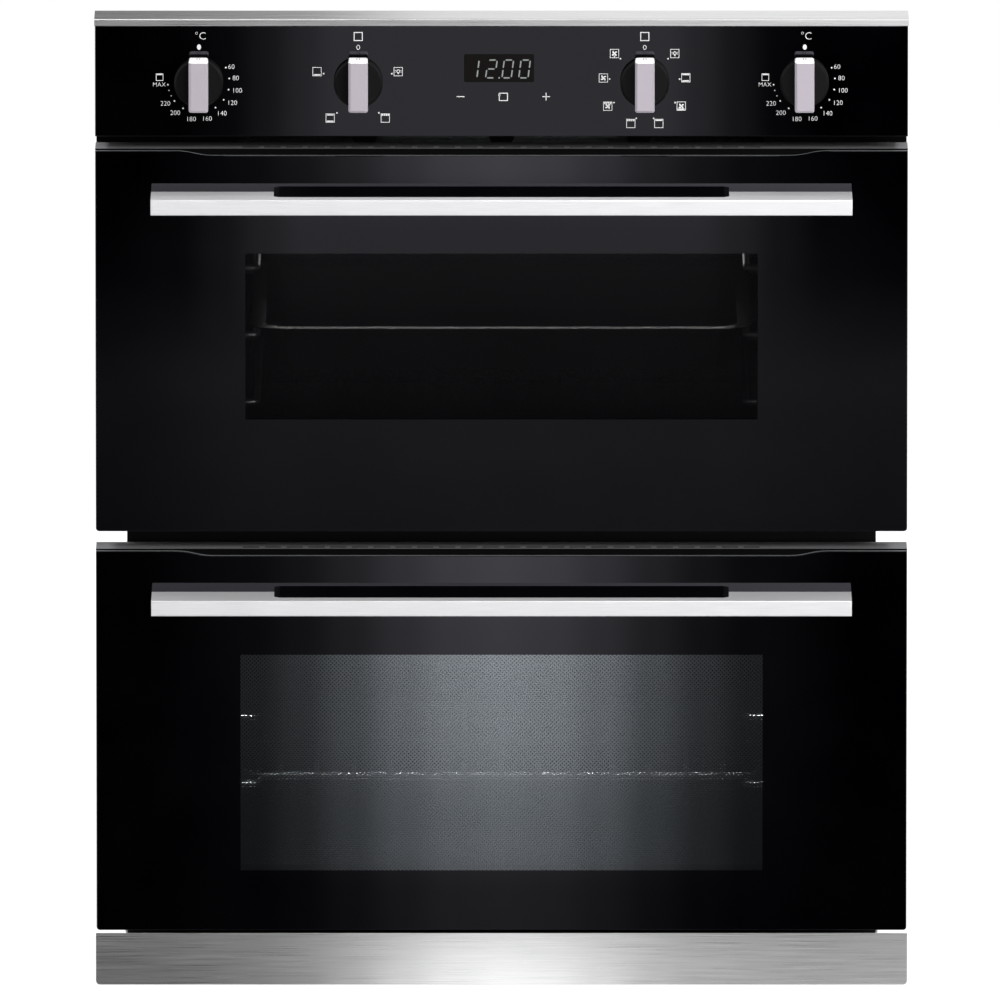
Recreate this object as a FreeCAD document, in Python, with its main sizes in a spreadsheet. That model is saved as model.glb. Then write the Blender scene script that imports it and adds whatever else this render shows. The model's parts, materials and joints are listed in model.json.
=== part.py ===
import FreeCAD
import Part
import math
import os
import re
import Sketcher

# A built-under double oven: two drop-down glass doors one above the other, a glass control panel with
# four knobs and a clock, a steel top trim and a steel plinth. +Z is up, the front faces -Y and the
# origin is the middle of the footprint on the surface that the oven stands on. Lengths are in mm.

SIZES = {
    # Front elevation, from the floor up
    "front_width": 597.0,
    "plinth_height": 38.7,
    "plinth_gap": 2.3,
    "door_height": 282.4,
    "door_gap": 14.8,
    "vent_gap": 10.8,
    "control_height": 81.8,
    "top_trim_height": 5.3,
    # Depth, from the front of the glass to the back of the terminal box
    "body_depth": 548.0,
    "handle_reach": 42.0,
    "door_depth": 36.0,
    "door_clearance": 5.0,
    "terminal_depth": 20.0,
    # Chassis sheet metal
    "side_setback": 23.0,
    "chassis_drop": 16.0,
    "roof_fall": 80.0,
    "sheet": 1.0,
    "frame_sheet": 1.5,
    "frame_top_gap": 0.5,
    "pan_rise": 20.0,
    "panel_flange": 12.0,
    "bead_width": 14.0,
    "bead_depth": 2.0,
    "vent_slot_width": 5.0,
    "vent_slot_length": 44.0,
    "vent_slot_step": 14.0,
    "vent_slots": 12,
    "fixing_tab_setback": 5.5,
    "fixing_tab_height": 34.0,
    "fixing_low": 109.5,
    "fixing_high": 222.3,
    "fixing_setback": 14.5,
    "fixing_hole_radius": 2.5,
    # Steel trims
    "trim_sheet": 1.2,
    "trim_bend": 1.0,
    "plinth_corner": 3.5,
    # Control panel
    "glass_inset": 0.5,
    "glass_thickness": 4.0,
    "glass_corner": 2.5,
    "glass_edge": 0.5,
    "carrier_setback": 6.5,
    "carrier_inset": 1.0,
    "carrier_wall": 1.5,
    "module_width": 100.0,
    "module_height": 48.0,
    "module_depth": 22.0,
    "module_flange": 5.0,
    "module_center": 42.5,
    "module_clearance": 0.5,
    # Knobs and the controls behind them
    "knob_end": 76.5,
    "knob_pitch": 117.0,
    "knob_height": 40.3,
    "skirt_radius": 18.0,
    "skirt_depth": 8.0,
    "skirt_bevel": 1.5,
    "knob_gap": 0.8,
    "grip_width": 14.2,
    "grip_length": 38.5,
    "grip_depth": 17.0,
    "grip_corner": 1.6,
    "grip_bevel": 1.6,
    "stem_radius": 3.0,
    "stem_hole_radius": 5.0,
    "stem_insert": 14.0,
    "running_gap": 0.05,
    "switch_radius": 19.0,
    "switch_depth": 30.0,
    "thermostat_width": 46.0,
    "thermostat_height": 34.0,
    "thermostat_depth": 38.0,
    "switch_base": 4.0,
    # Air outlet and cooling blower
    "grille_setback": 1.0,
    "grille_height": 20.0,
    "grille_depth": 3.0,
    "air_slot_width": 92.0,
    "air_slot_pitch": 100.7,
    "air_slots": 4,
    "air_slot_slant": 6.0,
    "air_slot_margin": 3.0,
    "duct_margin": 2.95,
    "blower_wall": 1.0,
    "scroll_radius": 37.0,
    "blower_back": 95.0,
    "blower_lift": 29.5,
    "rotor_radius": 30.0,
    "rotor_blade": 5.0,
    "rotor_blade_sheet": 1.0,
    "rotor_disc": 2.0,
    "rotor_blades": 16,
    "rotor_side_gap": 6.0,
    "rotor_shaft_radius": 3.0,
    "blower_motor_radius": 26.0,
    "blower_motor_length": 34.0,
    # Cavities
    "side_room": 71.5,
    "rear_room": 85.5,
    "cavity_floor_rise": 42.0,
    "upper_roof_room": 40.4,
    "lower_roof_room": 36.4,
    "cavity_corner": 18.0,
    "cavity_wall": 1.2,
    "cavity_flange": 10.0,
    "seal_width": 8.0,
    "seal_margin": 4.0,
    "seal_gap": 0.3,
    # Heating elements
    "element_radius": 3.25,
    "element_hole_gap": 0.25,
    "grill_drop": 24.0,
    "grill_pitch": 60.0,
    "grill_runs": 6,
    "grill_front": 60.0,
    "grill_back": 60.0,
    "terminal_reach": 14.0,
    "base_element_gap": 0.3,
    "base_element_width": 300.0,
    "base_element_bend": 40.0,
    # Circulation fan of the lower oven
    "fan_ring_gap": 12.0,
    "fan_blades": 10,
    "fan_blade_inner": 24.0,
    "fan_blade_slant": 10.0,
    "fan_blade_depth": 22.0,
    "fan_sheet": 1.2,
    "fan_wall_gap": 7.0,
    "fan_hub_radius": 10.0,
    "fan_shaft_radius": 4.0,
    "fan_shaft_hole": 6.0,
    "fan_shaft_tail": 36.0,
    "ring_margin": 8.0,
    "ring_stand": 20.0,
    "ring_leg_offset": 16.0,
    "cover_side": 54.0,
    "cover_low": 12.0,
    "cover_head": 36.0,
    "cover_depth": 42.0,
    "cover_corner": 14.0,
    "cover_sheet": 1.2,
    "intake_slots": 16,
    "intake_inner": 16.0,
    "intake_outer": 48.0,
    "intake_slot_width": 6.0,
    "outlet_slot_width": 6.0,
    "outlet_slot_height": 90.0,
    "outlet_slot_step": 12.0,
    "outlet_slots": 3,
    "outlet_slot_start": 100.0,
    "motor_radius": 32.0,
    "motor_length": 44.0,
    "motor_plate_width": 130.0,
    "motor_plate_height": 56.0,
    "motor_plate_sheet": 1.5,
    # Oven lamps
    "lamp_margin": 26.0,
    "lamp_height": 140.0,
    "lamp_flange_radius": 19.0,
    "lamp_lens_radius": 15.0,
    "lamp_lens_depth": 12.0,
    "lamp_flange_depth": 3.0,
    "lamp_socket_radius": 13.0,
    "lamp_socket_length": 30.0,
    "lamp_hole_gap": 0.3,
    # Wire racks, shelf and grill pan
    "rack_wire_radius": 2.5,
    "rack_post_radius": 3.0,
    "rack_wall_gap": 0.5,
    "rack_rail_reach": 24.0,
    "rack_front": 25.0,
    "rack_back": 57.0,
    "rack_post_inset": 30.0,
    "rack_post_end": 24.0,
    "rack_step": 50.0,
    "rack_levels": 3,
    "rack_bend": 6.0,
    "upper_rack_first": 43.5,
    "lower_rack_first": 55.5,
    "shelf_side": 13.6,
    "shelf_rods": 13,
    "shelf_rod_radius": 2.0,
    "shelf_rail_radius": 3.0,
    "shelf_cross_radius": 2.8,
    "shelf_back": 50.0,
    "shelf_front": 24.0,
    "shelf_corner": 20.0,
    "weld_depth": 0.4,
    "rest_gap": 0.3,
    "pan_side": 20.0,
    "pan_back": 60.0,
    "pan_rim_flange": 9.0,
    "pan_depth": 30.0,
    "pan_slope": 6.0,
    "pan_corner": 24.0,
    "pan_sheet": 1.2,
    "pan_front": 30.0,
    # Doors
    "dip_depth": 3.5,
    "dip_end": 58.5,
    "dip_run": 29.0,
    "door_frame_inset": 10.0,
    "door_frame_lift": 4.0,
    "door_wall": 2.0,
    "door_skin": 2.0,
    "pane_thickness": 4.0,
    "pane_overlap": 24.0,
    "pane_margin": 14.0,
    "pane_clearance": 0.5,
    "window_rim": 8.0,
    "upper_window_side": 16.0,
    "upper_window_low": 83.2,
    "upper_window_drop": 76.1,
    "lower_window_side": 12.0,
    "lower_window_low": 44.6,
    "lower_window_drop": 77.1,
    "rail_height": 12.0,
    "rail_rise": 1.2,
    "rail_slot_length": 12.0,
    "rail_slot_width": 4.0,
    "rail_slot_pitch": 16.0,
    "rail_slots": 24,
    "rail_slot_back": 6.0,
    # Handles
    "handle_end": 41.5,
    "handle_height": 11.5,
    "handle_drop": 30.2,
    "handle_solid": 90.0,
    "handle_slot_depth": 27.0,
    "handle_edge": 0.8,
    "handle_slot_corner": 4.0,
    "handle_screw_inset": 45.0,
    "handle_screw_radius": 2.5,
    "handle_screw_depth": 16.0,
    "handle_screw_hole": 3.0,
    "handle_screw_head": 4.5,
    "handle_screw_head_depth": 3.0,
    # Door hinges
    "hinge_side_gap": 0.5,
    "pivot_rise": 14.0,
    "pivot_back": 14.0,
    "pin_radius": 4.0,
    "pin_press_gap": 0.02,
    "pin_overhang": 0.5,
    "bracket_plate": 4.0,
    "bracket_eye": 6.5,
    "hinge_slot_gap": 1.5,
    "casing_width": 14.0,
    "casing_length": 140.0,
    "casing_low": 16.0,
    "casing_high": 22.0,
    "cheek": 4.0,
    "cheek_gap": 0.3,
    "arm_eye": 8.0,
    "arm_front": 7.0,
    "arm_height": 70.0,
    "arm_web": 4.0,
    "arm_web_low": 24.0,
    "notch_half": 10.0,
    "notch_height": 26.0,
    # Mains connection
    "terminal_width": 80.0,
    "terminal_height": 50.0,
    "terminal_side": 105.5,
    "terminal_drop": 157.0,
    "terminal_rib": 3.0,
    "terminal_rib_step": 8.0,
    "terminal_ribs": 5,
    "cable_entry_radius": 7.0,
    "cable_entry_depth": 15.0,
}

# Places worked out from the sizes, as expressions
FRONT = "((handle_reach - body_depth) / 2)"
GLASS_BACK = f"({FRONT} + glass_thickness)"
FRAME_REACH = "(door_depth + door_clearance)"
FRAME = f"({FRONT} + {FRAME_REACH})"
FRAME_BACK = f"({FRAME} + frame_sheet)"
CHASSIS_DEPTH = f"(body_depth - {FRAME_REACH} - frame_sheet - terminal_depth)"
REAR = f"({FRAME_BACK} + {CHASSIS_DEPTH})"
LOWER_DOOR = "(plinth_height + plinth_gap)"
UPPER_DOOR = f"({LOWER_DOOR} + door_height + door_gap)"
CONTROL = f"({UPPER_DOOR} + door_height + vent_gap)"
TOP = f"({CONTROL} + control_height + top_trim_height)"
CHASSIS_TOP = f"({TOP} - chassis_drop)"
FRAME_TOP = f"({CONTROL} - frame_top_gap)"
GLASS_WIDTH = "(front_width - 2 * glass_inset)"
CHASSIS_WIDTH = "(front_width - 2 * side_setback)"
CARRIER_WIDTH = "(front_width - 2 * carrier_setback)"
CAVITY_WIDTH = f"({CHASSIS_WIDTH} - 2 * side_room)"
CAVITY_DEPTH = f"({CHASSIS_DEPTH} - rear_room)"
UPPER_HEIGHT = "(door_height - cavity_floor_rise - upper_roof_room)"
LOWER_HEIGHT = "(door_height - cavity_floor_rise - lower_roof_room)"
KNOB_OUTER = "(front_width / 2 - knob_end)"
KNOB_INNER = f"({KNOB_OUTER} - knob_pitch)"
HINGE_X = f"({CHASSIS_WIDTH} / 2 - panel_flange - hinge_side_gap - casing_width / 2)"
HANDLE_HALF = "(front_width / 2 - handle_end)"
HANDLE_SLOT_HALF = f"({HANDLE_HALF} - handle_solid)"
HANDLE_SCREW_X = f"({HANDLE_HALF} - handle_screw_inset)"
DIP_OUTER = "(front_width / 2 - dip_end)"
DIP_INNER = f"({DIP_OUTER} - dip_run)"
CARRIER_DEPTH = f"({FRAME_REACH} + frame_sheet - glass_thickness)"
CARRIER_FRONT = f"({GLASS_BACK} + carrier_wall)"
HANDLE_Z = "(door_height - handle_drop - handle_height)"
HANDLE_MIDDLE = f"({HANDLE_Z} + handle_height / 2)"
PIVOT_TO_FRAME_BACK = f"({FRAME_REACH} + frame_sheet - pivot_back)"
WALL_BACK = f"({FRAME_BACK} + {CAVITY_DEPTH})"
LINER_BACK = f"({WALL_BACK} + cavity_wall)"
AIR_SPAN = "(air_slot_pitch * (air_slots - 1) + air_slot_width)"
GRILLE_WIDTH = "(front_width - 2 * grille_setback)"
BLOWER_WIDTH = f"({AIR_SPAN} + 2 * duct_margin)"
COVER_WIDTH = f"({CAVITY_WIDTH} - 2 * cover_side)"
COVER_HEIGHT = f"({LOWER_HEIGHT} - cover_low - cover_head)"
FAN_HEIGHT = f"(cover_low + {COVER_HEIGHT} / 2)"
RING_RADIUS = f"({COVER_HEIGHT} / 2 - ring_margin)"
FAN_RADIUS = f"({RING_RADIUS} - fan_ring_gap)"
LAMP_X = f"(lamp_margin - {CAVITY_WIDTH} / 2)"
RACK_LENGTH = f"({CAVITY_DEPTH} - rack_front - rack_back)"
SHELF_LENGTH = f"({CAVITY_DEPTH} - shelf_front - shelf_back)"
SHELF_HALF = f"({CAVITY_WIDTH} / 2 - shelf_side)"
PAN_WIDTH = f"({CAVITY_WIDTH} - 2 * pan_side)"
PAN_LENGTH = f"({CAVITY_DEPTH} - pan_front - pan_back)"

# Each oven: its door's bottom edge, the inside height of its cavity and its first rack level
OVENS = {
    "upper": (UPPER_DOOR, UPPER_HEIGHT, "upper_rack_first"),
    "lower": (LOWER_DOOR, LOWER_HEIGHT, "lower_rack_first"),
}
KNOBS = {
    "upper_temperature": f"-{KNOB_OUTER}",
    "upper_function": f"-{KNOB_INNER}",
    "lower_function": KNOB_INNER,
    "lower_temperature": KNOB_OUTER,
}

doc = FreeCAD.newDocument("DoubleOven")
sheet = doc.addObject("Spreadsheet::Sheet", "Sizes")
for line, (alias, size) in enumerate(SIZES.items(), start=1):
    sheet.set(f"A{line}", alias)
    sheet.set(f"B{line}", str(size))
    sheet.setAlias(f"B{line}", alias)
doc.recompute()

ALIAS = re.compile(r"\b(" + "|".join(SIZES) + r")\b")
nodes = []


def formula(text):
    """The text with each size's name pointing at its cell."""
    return ALIAS.sub(r"Sizes.\1", text)


def number(text):
    """The value that a formula has now."""
    return float(sheet.evalExpression(formula(text)))


def bind(item, name, text):
    """Tie one property of an object to a formula."""
    item.setExpression(name, formula(text))


def place(item, x="0", y="0", z="0"):
    """Tie an object's position to three formulas."""
    for axis, text in zip("xyz", (x, y, z)):
        bind(item, f"Placement.Base.{axis}", text)


def new_body(label, x="0", y="0", z="0", node=True):
    """An empty body at a place worked out from the sizes; node bodies are sub-parts of the oven."""
    body = doc.addObject("PartDesign::Body", label)
    body.Label = label
    place(body, x, y, z)
    if node:
        nodes.append(body)
    return body


def group(label, members):
    """Like pieces kept as one sub-part."""
    item = doc.addObject("Part::Compound", label)
    item.Label = label
    item.Links = members
    nodes.append(item)
    return item


# Sketch outlines: each takes formulas and returns a function that draws it


def rectangle(left, bottom, wide, tall, corner=None):
    """A rectangle, with rounded corners where a corner radius is given."""

    def draw(sketch):
        x, y, w, d = (number(text) for text in (left, bottom, wide, tall))
        r = number(corner) if corner else 0.0
        spots = [(x + r, y), (x + w - r, y), (x + w, y + r), (x + w, y + d - r)]
        spots += [(x + w - r, y + d), (x + r, y + d), (x, y + d - r), (x, y + r)]
        dots = [FreeCAD.Vector(a, b, 0) for a, b in spots]
        first = sketch.GeometryCount
        make = Sketcher.Constraint
        rules = []
        if corner:
            turn = math.sqrt(0.5) * r
            centres = [(x + w - r, y + r, 1, -1), (x + w - r, y + d - r, 1, 1)]
            centres += [(x + r, y + d - r, -1, 1), (x + r, y + r, -1, -1)]
            shapes = []
            for k in range(4):
                a, b, across, up = centres[k]
                middle = FreeCAD.Vector(a + across * turn, b + up * turn, 0)
                shapes.append(Part.LineSegment(dots[2 * k], dots[2 * k + 1]))
                shapes.append(Part.Arc(dots[2 * k + 1], middle, dots[(2 * k + 2) % 8]))
            sketch.addGeometry(shapes, False)
            for k in range(4):
                straight, arc, following = first + 2 * k, first + 2 * k + 1, first + (2 * k + 2) % 8
                rules.append(make("Tangent", straight, 2, arc, 1))
                rules.append(make("Tangent", arc, 2, following, 1))
            rules += [make("Equal", first + 1, first + k) for k in (3, 5, 7)]
            low, right, high, side = first, first + 2, first + 4, first + 6
        else:
            corners = dots[0], dots[2], dots[4], dots[6]
            sketch.addGeometry([Part.LineSegment(corners[k], corners[k - 3]) for k in range(4)], False)
            rules += [make("Coincident", first + k, 2, first + (k + 1) % 4, 1) for k in range(4)]
            low, right, high, side = first, first + 1, first + 2, first + 3
        rules += [make("Horizontal", low), make("Horizontal", high)]
        rules += [make("Vertical", right), make("Vertical", side)]
        named = [("left", left, make("DistanceX", -1, 1, side, 1, x))]
        named.append(("bottom", bottom, make("DistanceY", -1, 1, low, 1, y)))
        named.append(("wide", wide, make("DistanceX", side, 1, right, 1, w)))
        named.append(("tall", tall, make("DistanceY", low, 1, high, 1, d)))
        if corner:
            named.append(("corner", corner, make("Radius", first + 1, r)))
        constrain(sketch, rules, named)

    return draw


def circle(x, y, radius):
    """A full circle."""

    def draw(sketch):
        a, b, r = number(x), number(y), number(radius)
        first = sketch.GeometryCount
        sketch.addGeometry(Part.Circle(FreeCAD.Vector(a, b, 0), FreeCAD.Vector(0, 0, 1), r), False)
        make = Sketcher.Constraint
        named = [("across", x, make("DistanceX", -1, 1, first, 3, a))]
        named.append(("up", y, make("DistanceY", -1, 1, first, 3, b)))
        named.append(("radius", radius, make("Radius", first, r)))
        constrain(sketch, [], named)

    return draw


def polygon(*points):
    """A closed outline of straight edges through the given points."""

    def draw(sketch):
        spots = [FreeCAD.Vector(number(a), number(b), 0) for a, b in points]
        count = len(spots)
        first = sketch.GeometryCount
        make = Sketcher.Constraint
        sketch.addGeometry([Part.LineSegment(spots[k], spots[(k + 1) % count]) for k in range(count)], False)
        rules = [make("Coincident", first + k, 2, first + (k + 1) % count, 1) for k in range(count)]
        named = []
        for k, (a, b) in enumerate(points):
            named.append((f"across{k}", a, make("DistanceX", -1, 1, first + k, 1, spots[k].x)))
            named.append((f"up{k}", b, make("DistanceY", -1, 1, first + k, 1, spots[k].y)))
        constrain(sketch, rules, named)

    return draw


def constrain(sketch, rules, named):
    """Add plain constraints, then those whose values follow the sizes."""
    start = sketch.ConstraintCount + len(rules)
    sketch.addConstraint(rules + [rule for _, _, rule in named])
    for k, (name, text, _) in enumerate(named):
        sketch.renameConstraint(start + k, f"{name}_{start}")
        bind(sketch, f"Constraints.{name}_{start}", text)


# Features: every one starts at a distance along its plane's own axis and runs towards the axis's plus end


def new_sketch(body, name, plane, start, outlines):
    """A sketch on one of the body's own planes, moved along the plane's axis."""
    sketch = body.newObject("Sketcher::SketchObject", name)
    support = [item for item in body.Origin.OriginFeatures if item.Role == plane]
    sketch.AttachmentSupport = [(support[0], "")]
    sketch.MapMode = "FlatFace"
    # The XZ plane's normal points to -Y, so a start towards +Y is negative there
    bind(sketch, "AttachmentOffset.Base.z", f"-({start})" if plane == "XZ_Plane" else start)
    for draw in outlines:
        draw(sketch)
    return sketch


def pad(body, name, plane, start, depth, *outlines):
    """Add material from start over depth."""
    feature = body.newObject("PartDesign::Pad", name)
    feature.Profile = new_sketch(body, f"{name}_outline", plane, start, outlines)
    feature.Reversed = plane == "XZ_Plane"
    bind(feature, "Length", depth)
    return feature


def pocket(body, name, plane, start, depth, *outlines):
    """Cut from start over depth."""
    feature = body.newObject("PartDesign::Pocket", name)
    feature.Profile = new_sketch(body, f"{name}_outline", plane, start, outlines)
    feature.Reversed = plane != "XZ_Plane"
    bind(feature, "Length", depth)
    return feature


def row(body, feature, axis, step, count):
    """Repeat a feature along its sketch's H_Axis or V_Axis."""
    pattern = body.newObject("PartDesign::LinearPattern", f"{feature.Name}_row")
    pattern.Originals = [feature]
    pattern.Direction = (feature.Profile[0], [axis])
    bind(pattern, "Length", f"({step}) * ({count} - 1)")
    bind(pattern, "Occurrences", count)
    body.Tip = pattern
    return pattern


def ring(body, feature, count):
    """Repeat a feature around the normal of its sketch."""
    pattern = body.newObject("PartDesign::PolarPattern", f"{feature.Name}_ring")
    pattern.Originals = [feature]
    pattern.Axis = (feature.Profile[0], ["N_Axis"])
    pattern.Angle = 360
    bind(pattern, "Occurrences", count)
    body.Tip = pattern
    return pattern


def turn(body, name, *points):
    """Revolve an outline in the XY plane about the body's Y axis."""
    sketch = new_sketch(body, f"{name}_outline", "XY_Plane", "0", [polygon(*points)])
    feature = body.newObject("PartDesign::Revolution", name)
    feature.Profile = sketch
    feature.ReferenceAxis = (sketch, ["V_Axis"])
    feature.Angle = 360
    return feature


def dress(body, kind, name, size, chosen):
    """Fillet or chamfer the edges of the body so far that the chooser accepts."""
    doc.recompute()
    base = body.Tip
    edges = [f"Edge{k}" for k, edge in enumerate(base.Shape.Edges, start=1) if chosen(edge)]
    feature = body.newObject(f"PartDesign::{kind}", name)
    feature.Base = (base, edges)
    bind(feature, "Radius" if kind == "Fillet" else "Size", size)
    return feature


def runs_along(edge, axis):
    """Whether an edge is straight along X, Y or Z."""
    box = edge.BoundBox
    spans = {"X": box.XLength, "Y": box.YLength, "Z": box.ZLength}
    return all((span > 1e-6) == (name == axis) for name, span in spans.items())


# Bent wire and tube


def tube(points, radius, bend=0.0, closed=False):
    """A round bar along straight runs, with an arc of the bend radius at each turn."""
    count = len(points)
    edges = []
    cuts = []
    for k, point in enumerate(points):
        if not closed and k in (0, count - 1):
            cuts.append((point, None, point))
            continue
        back = (points[k - 1] - point).normalize()
        ahead = (points[(k + 1) % count] - point).normalize()
        half = back.getAngle(ahead) / 2
        reach = bend / math.tan(half)
        inside = (back + ahead).normalize() * (bend / math.sin(half) - bend)
        cuts.append((point + back * reach, point + inside, point + ahead * reach))
    for k in range(count):
        start, middle, end = cuts[k]
        if middle is not None:
            edges.append(Part.Arc(start, middle, end).toShape())
        if closed or k < count - 1:
            edges.append(Part.LineSegment(end, cuts[(k + 1) % count][0]).toShape())
    path = Part.Wire(edges)
    first = path.OrderedEdges[0]
    start = first.valueAt(first.FirstParameter)
    heading = first.tangentAt(first.FirstParameter)
    section = Part.Wire([Part.makeCircle(radius, start, heading)])
    return path.makePipeShell([section], True, True)


def wire_part(label, shape, x="0", y="0", z="0"):
    """A sub-part made of bent or welded wire."""
    item = doc.addObject("Part::Feature", label)
    item.Label = label
    item.Shape = shape
    place(item, x, y, z)
    nodes.append(item)
    return item


def floor_of(door):
    """The inside floor of the cavity behind a door."""
    return f"({door} + cavity_floor_rise)"


# Chassis


def base_pan():
    """The folded pan that the oven stands on, with cooling slots in its floor."""
    body = new_body("base_pan", y=FRAME_BACK)
    inside = f"{CHASSIS_DEPTH} - 2 * sheet"
    pad(body, "pan_block", "XY_Plane", "0", "pan_rise",
        rectangle(f"-{CHASSIS_WIDTH} / 2", "0", CHASSIS_WIDTH, CHASSIS_DEPTH))
    pocket(body, "pan_inside", "XY_Plane", "sheet", "pan_rise - sheet",
           rectangle(f"sheet - {CHASSIS_WIDTH} / 2", "sheet", f"{CHASSIS_WIDTH} - 2 * sheet", inside))
    start = "-vent_slot_step * (vent_slots - 1) / 2 - vent_slot_width / 2"
    slot = pocket(body, "pan_slot", "XY_Plane", "0", "sheet",
                  rectangle(start, f"{CHASSIS_DEPTH} / 2", "vent_slot_width", "vent_slot_length"))
    row(body, slot, "H_Axis", "vent_slot_step", "vent_slots")


def side_panel(label, side):
    """A folded side panel with a sloping top, its rim turned inwards, a row of vents and two beads."""
    body = new_body(label, x=f"{side} * {CHASSIS_WIDTH} / 2", y=FRAME_BACK, z="pan_rise")
    depth = f"({CHASSIS_DEPTH} - sheet)"
    tall = f"({CHASSIS_TOP} - sheet - pan_rise)"
    rim_fall = f"(roof_fall * sheet / {CHASSIS_DEPTH})"
    back_tall = f"({tall} - roof_fall + {rim_fall})"
    inward = "0" if side < 0 else "-panel_flange"
    hollow = "sheet" if side < 0 else "-panel_flange"
    bead = "sheet" if side < 0 else "-sheet - bead_depth"
    wall = "0" if side < 0 else "-sheet"
    pad(body, f"{label}_block", "YZ_Plane", inward, "panel_flange",
        polygon(("0", "0"), (depth, "0"), (depth, back_tall), ("0", tall)))
    pocket(body, f"{label}_inside", "YZ_Plane", hollow, "panel_flange - sheet",
           polygon(("sheet", "sheet"), (f"{depth} - sheet", "sheet"),
                   (f"{depth} - sheet", f"{back_tall} + {rim_fall} - sheet"),
                   ("sheet", f"{tall} - {rim_fall} - sheet")))
    beads = [rectangle("4 * bead_width", f"{tall} * {share} - bead_width / 2", f"{depth} - 8 * bead_width",
                       "bead_width") for share in (0.3, 0.6)]
    pad(body, f"{label}_beads", "YZ_Plane", bead, "bead_depth", *beads)
    start = f"{depth} - 2 * panel_flange - vent_slot_step * vent_slots"
    slot = pocket(body, f"{label}_slot", "YZ_Plane", wall, "sheet",
                  rectangle(start, f"{back_tall} - 2 * panel_flange - vent_slot_length", "vent_slot_width",
                            "vent_slot_length"))
    row(body, slot, "H_Axis", "vent_slot_step", "vent_slots")


def rear_panel():
    """The flat back, with two banks of vents and the opening under the terminal box."""
    body = new_body("rear_panel", y=f"{REAR} - sheet", z="pan_rise")
    tall = f"({CHASSIS_TOP} - sheet - roof_fall - pan_rise)"
    pad(body, "rear_sheet", "XZ_Plane", "0", "sheet",
        rectangle(f"-{CHASSIS_WIDTH} / 2", "0", CHASSIS_WIDTH, tall))
    start = "-vent_slot_step * (vent_slots - 1) / 2 - vent_slot_width / 2"
    for name, level in (("rear_low_slot", "0.15"), ("rear_high_slot", "0.85")):
        slot = pocket(body, name, "XZ_Plane", "0", "sheet",
                      rectangle(start, f"{tall} * {level} - vent_slot_length / 2", "vent_slot_width",
                                "vent_slot_length"))
        row(body, slot, "H_Axis", "vent_slot_step", "vent_slots")


def top_cover():
    """The lid, which slopes down to the back, with vents above the blower and at the back."""
    body = new_body("top_cover", x=f"-{CHASSIS_WIDTH} / 2", y=FRAME_BACK, z=f"{CHASSIS_TOP} - sheet")
    pad(body, "cover_sheet_metal", "YZ_Plane", "0", CHASSIS_WIDTH,
        polygon(("0", "0"), (CHASSIS_DEPTH, "-roof_fall"), (CHASSIS_DEPTH, "sheet - roof_fall"),
                ("0", "sheet")))
    start = f"({CHASSIS_WIDTH} - vent_slot_step * (vent_slots - 1) - vent_slot_width) / 2"
    for name, middle in (("cover_front_slot", "blower_back"), ("cover_back_slot", f"{CHASSIS_DEPTH} * 0.8")):
        slot = pocket(body, name, "XY_Plane", "-roof_fall", "roof_fall + sheet",
                      rectangle(start, f"{middle} - vent_slot_length / 2", "vent_slot_width",
                                "vent_slot_length"))
        row(body, slot, "H_Axis", "vent_slot_step", "vent_slots")


def front_frame():
    """The enamelled front: two cavity mouths, four hinge slots, the air outlet and four fixing tabs."""
    body = new_body("front_frame", y=FRAME)
    pad(body, "frame_plate", "XZ_Plane", "0", "frame_sheet",
        rectangle(f"-{CHASSIS_WIDTH} / 2", "0", CHASSIS_WIDTH, FRAME_TOP))
    levels = (f"({LOWER_DOOR} + fixing_low)", f"({UPPER_DOOR} + fixing_high)")
    pad(body, "fixing_tabs", "XZ_Plane", "0", "frame_sheet",
        *[rectangle("fixing_tab_setback - front_width / 2", f"{level} - fixing_tab_height / 2",
                    "front_width - 2 * fixing_tab_setback", "fixing_tab_height") for level in levels])
    pocket(body, "fixing_holes", "XZ_Plane", "0", "frame_sheet",
           *[circle(f"{side} * (front_width / 2 - fixing_setback)", level, "fixing_hole_radius")
             for side in (-1, 1) for level in levels])
    pocket(body, "cavity_mouths", "XZ_Plane", "0", "frame_sheet",
           *[rectangle(f"-{CAVITY_WIDTH} / 2", floor_of(door), CAVITY_WIDTH, tall, "cavity_corner")
             for door, tall, _ in OVENS.values()])
    slot_wide = "(bracket_plate + 2 * hinge_slot_gap)"
    slot_tall = "(2 * bracket_eye + 2 * hinge_slot_gap)"
    pocket(body, "hinge_slots", "XZ_Plane", "0", "frame_sheet",
           *[rectangle(f"{side} * {HINGE_X} - {slot_wide} / 2", f"{door} + pivot_rise - {slot_tall} / 2",
                       slot_wide, slot_tall) for side in (-1, 1) for door, _, _ in OVENS.values()])
    pocket(body, "air_outlet", "XZ_Plane", "0", "frame_sheet",
           rectangle(f"-{AIR_SPAN} / 2", f"{FRAME_TOP} - grille_height + air_slot_margin", AIR_SPAN,
                     "grille_height - 2 * air_slot_margin"))


def plinth_trim():
    """The brushed steel strip at the foot, with a bottom return that meets the front frame."""
    body = new_body("plinth_trim", y=FRONT)
    pad(body, "plinth_face", "XZ_Plane", "0", "trim_sheet",
        rectangle("-front_width / 2", "0", "front_width", "plinth_height"))
    low = number("plinth_height") / 2
    dress(body, "Fillet", "plinth_corners", "plinth_corner",
          lambda edge: runs_along(edge, "Y") and edge.CenterOfMass.z < low)
    pad(body, "plinth_return", "XY_Plane", "0", "trim_sheet",
        rectangle("plinth_corner - front_width / 2", "0", "front_width - 2 * plinth_corner", FRAME_REACH))


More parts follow.
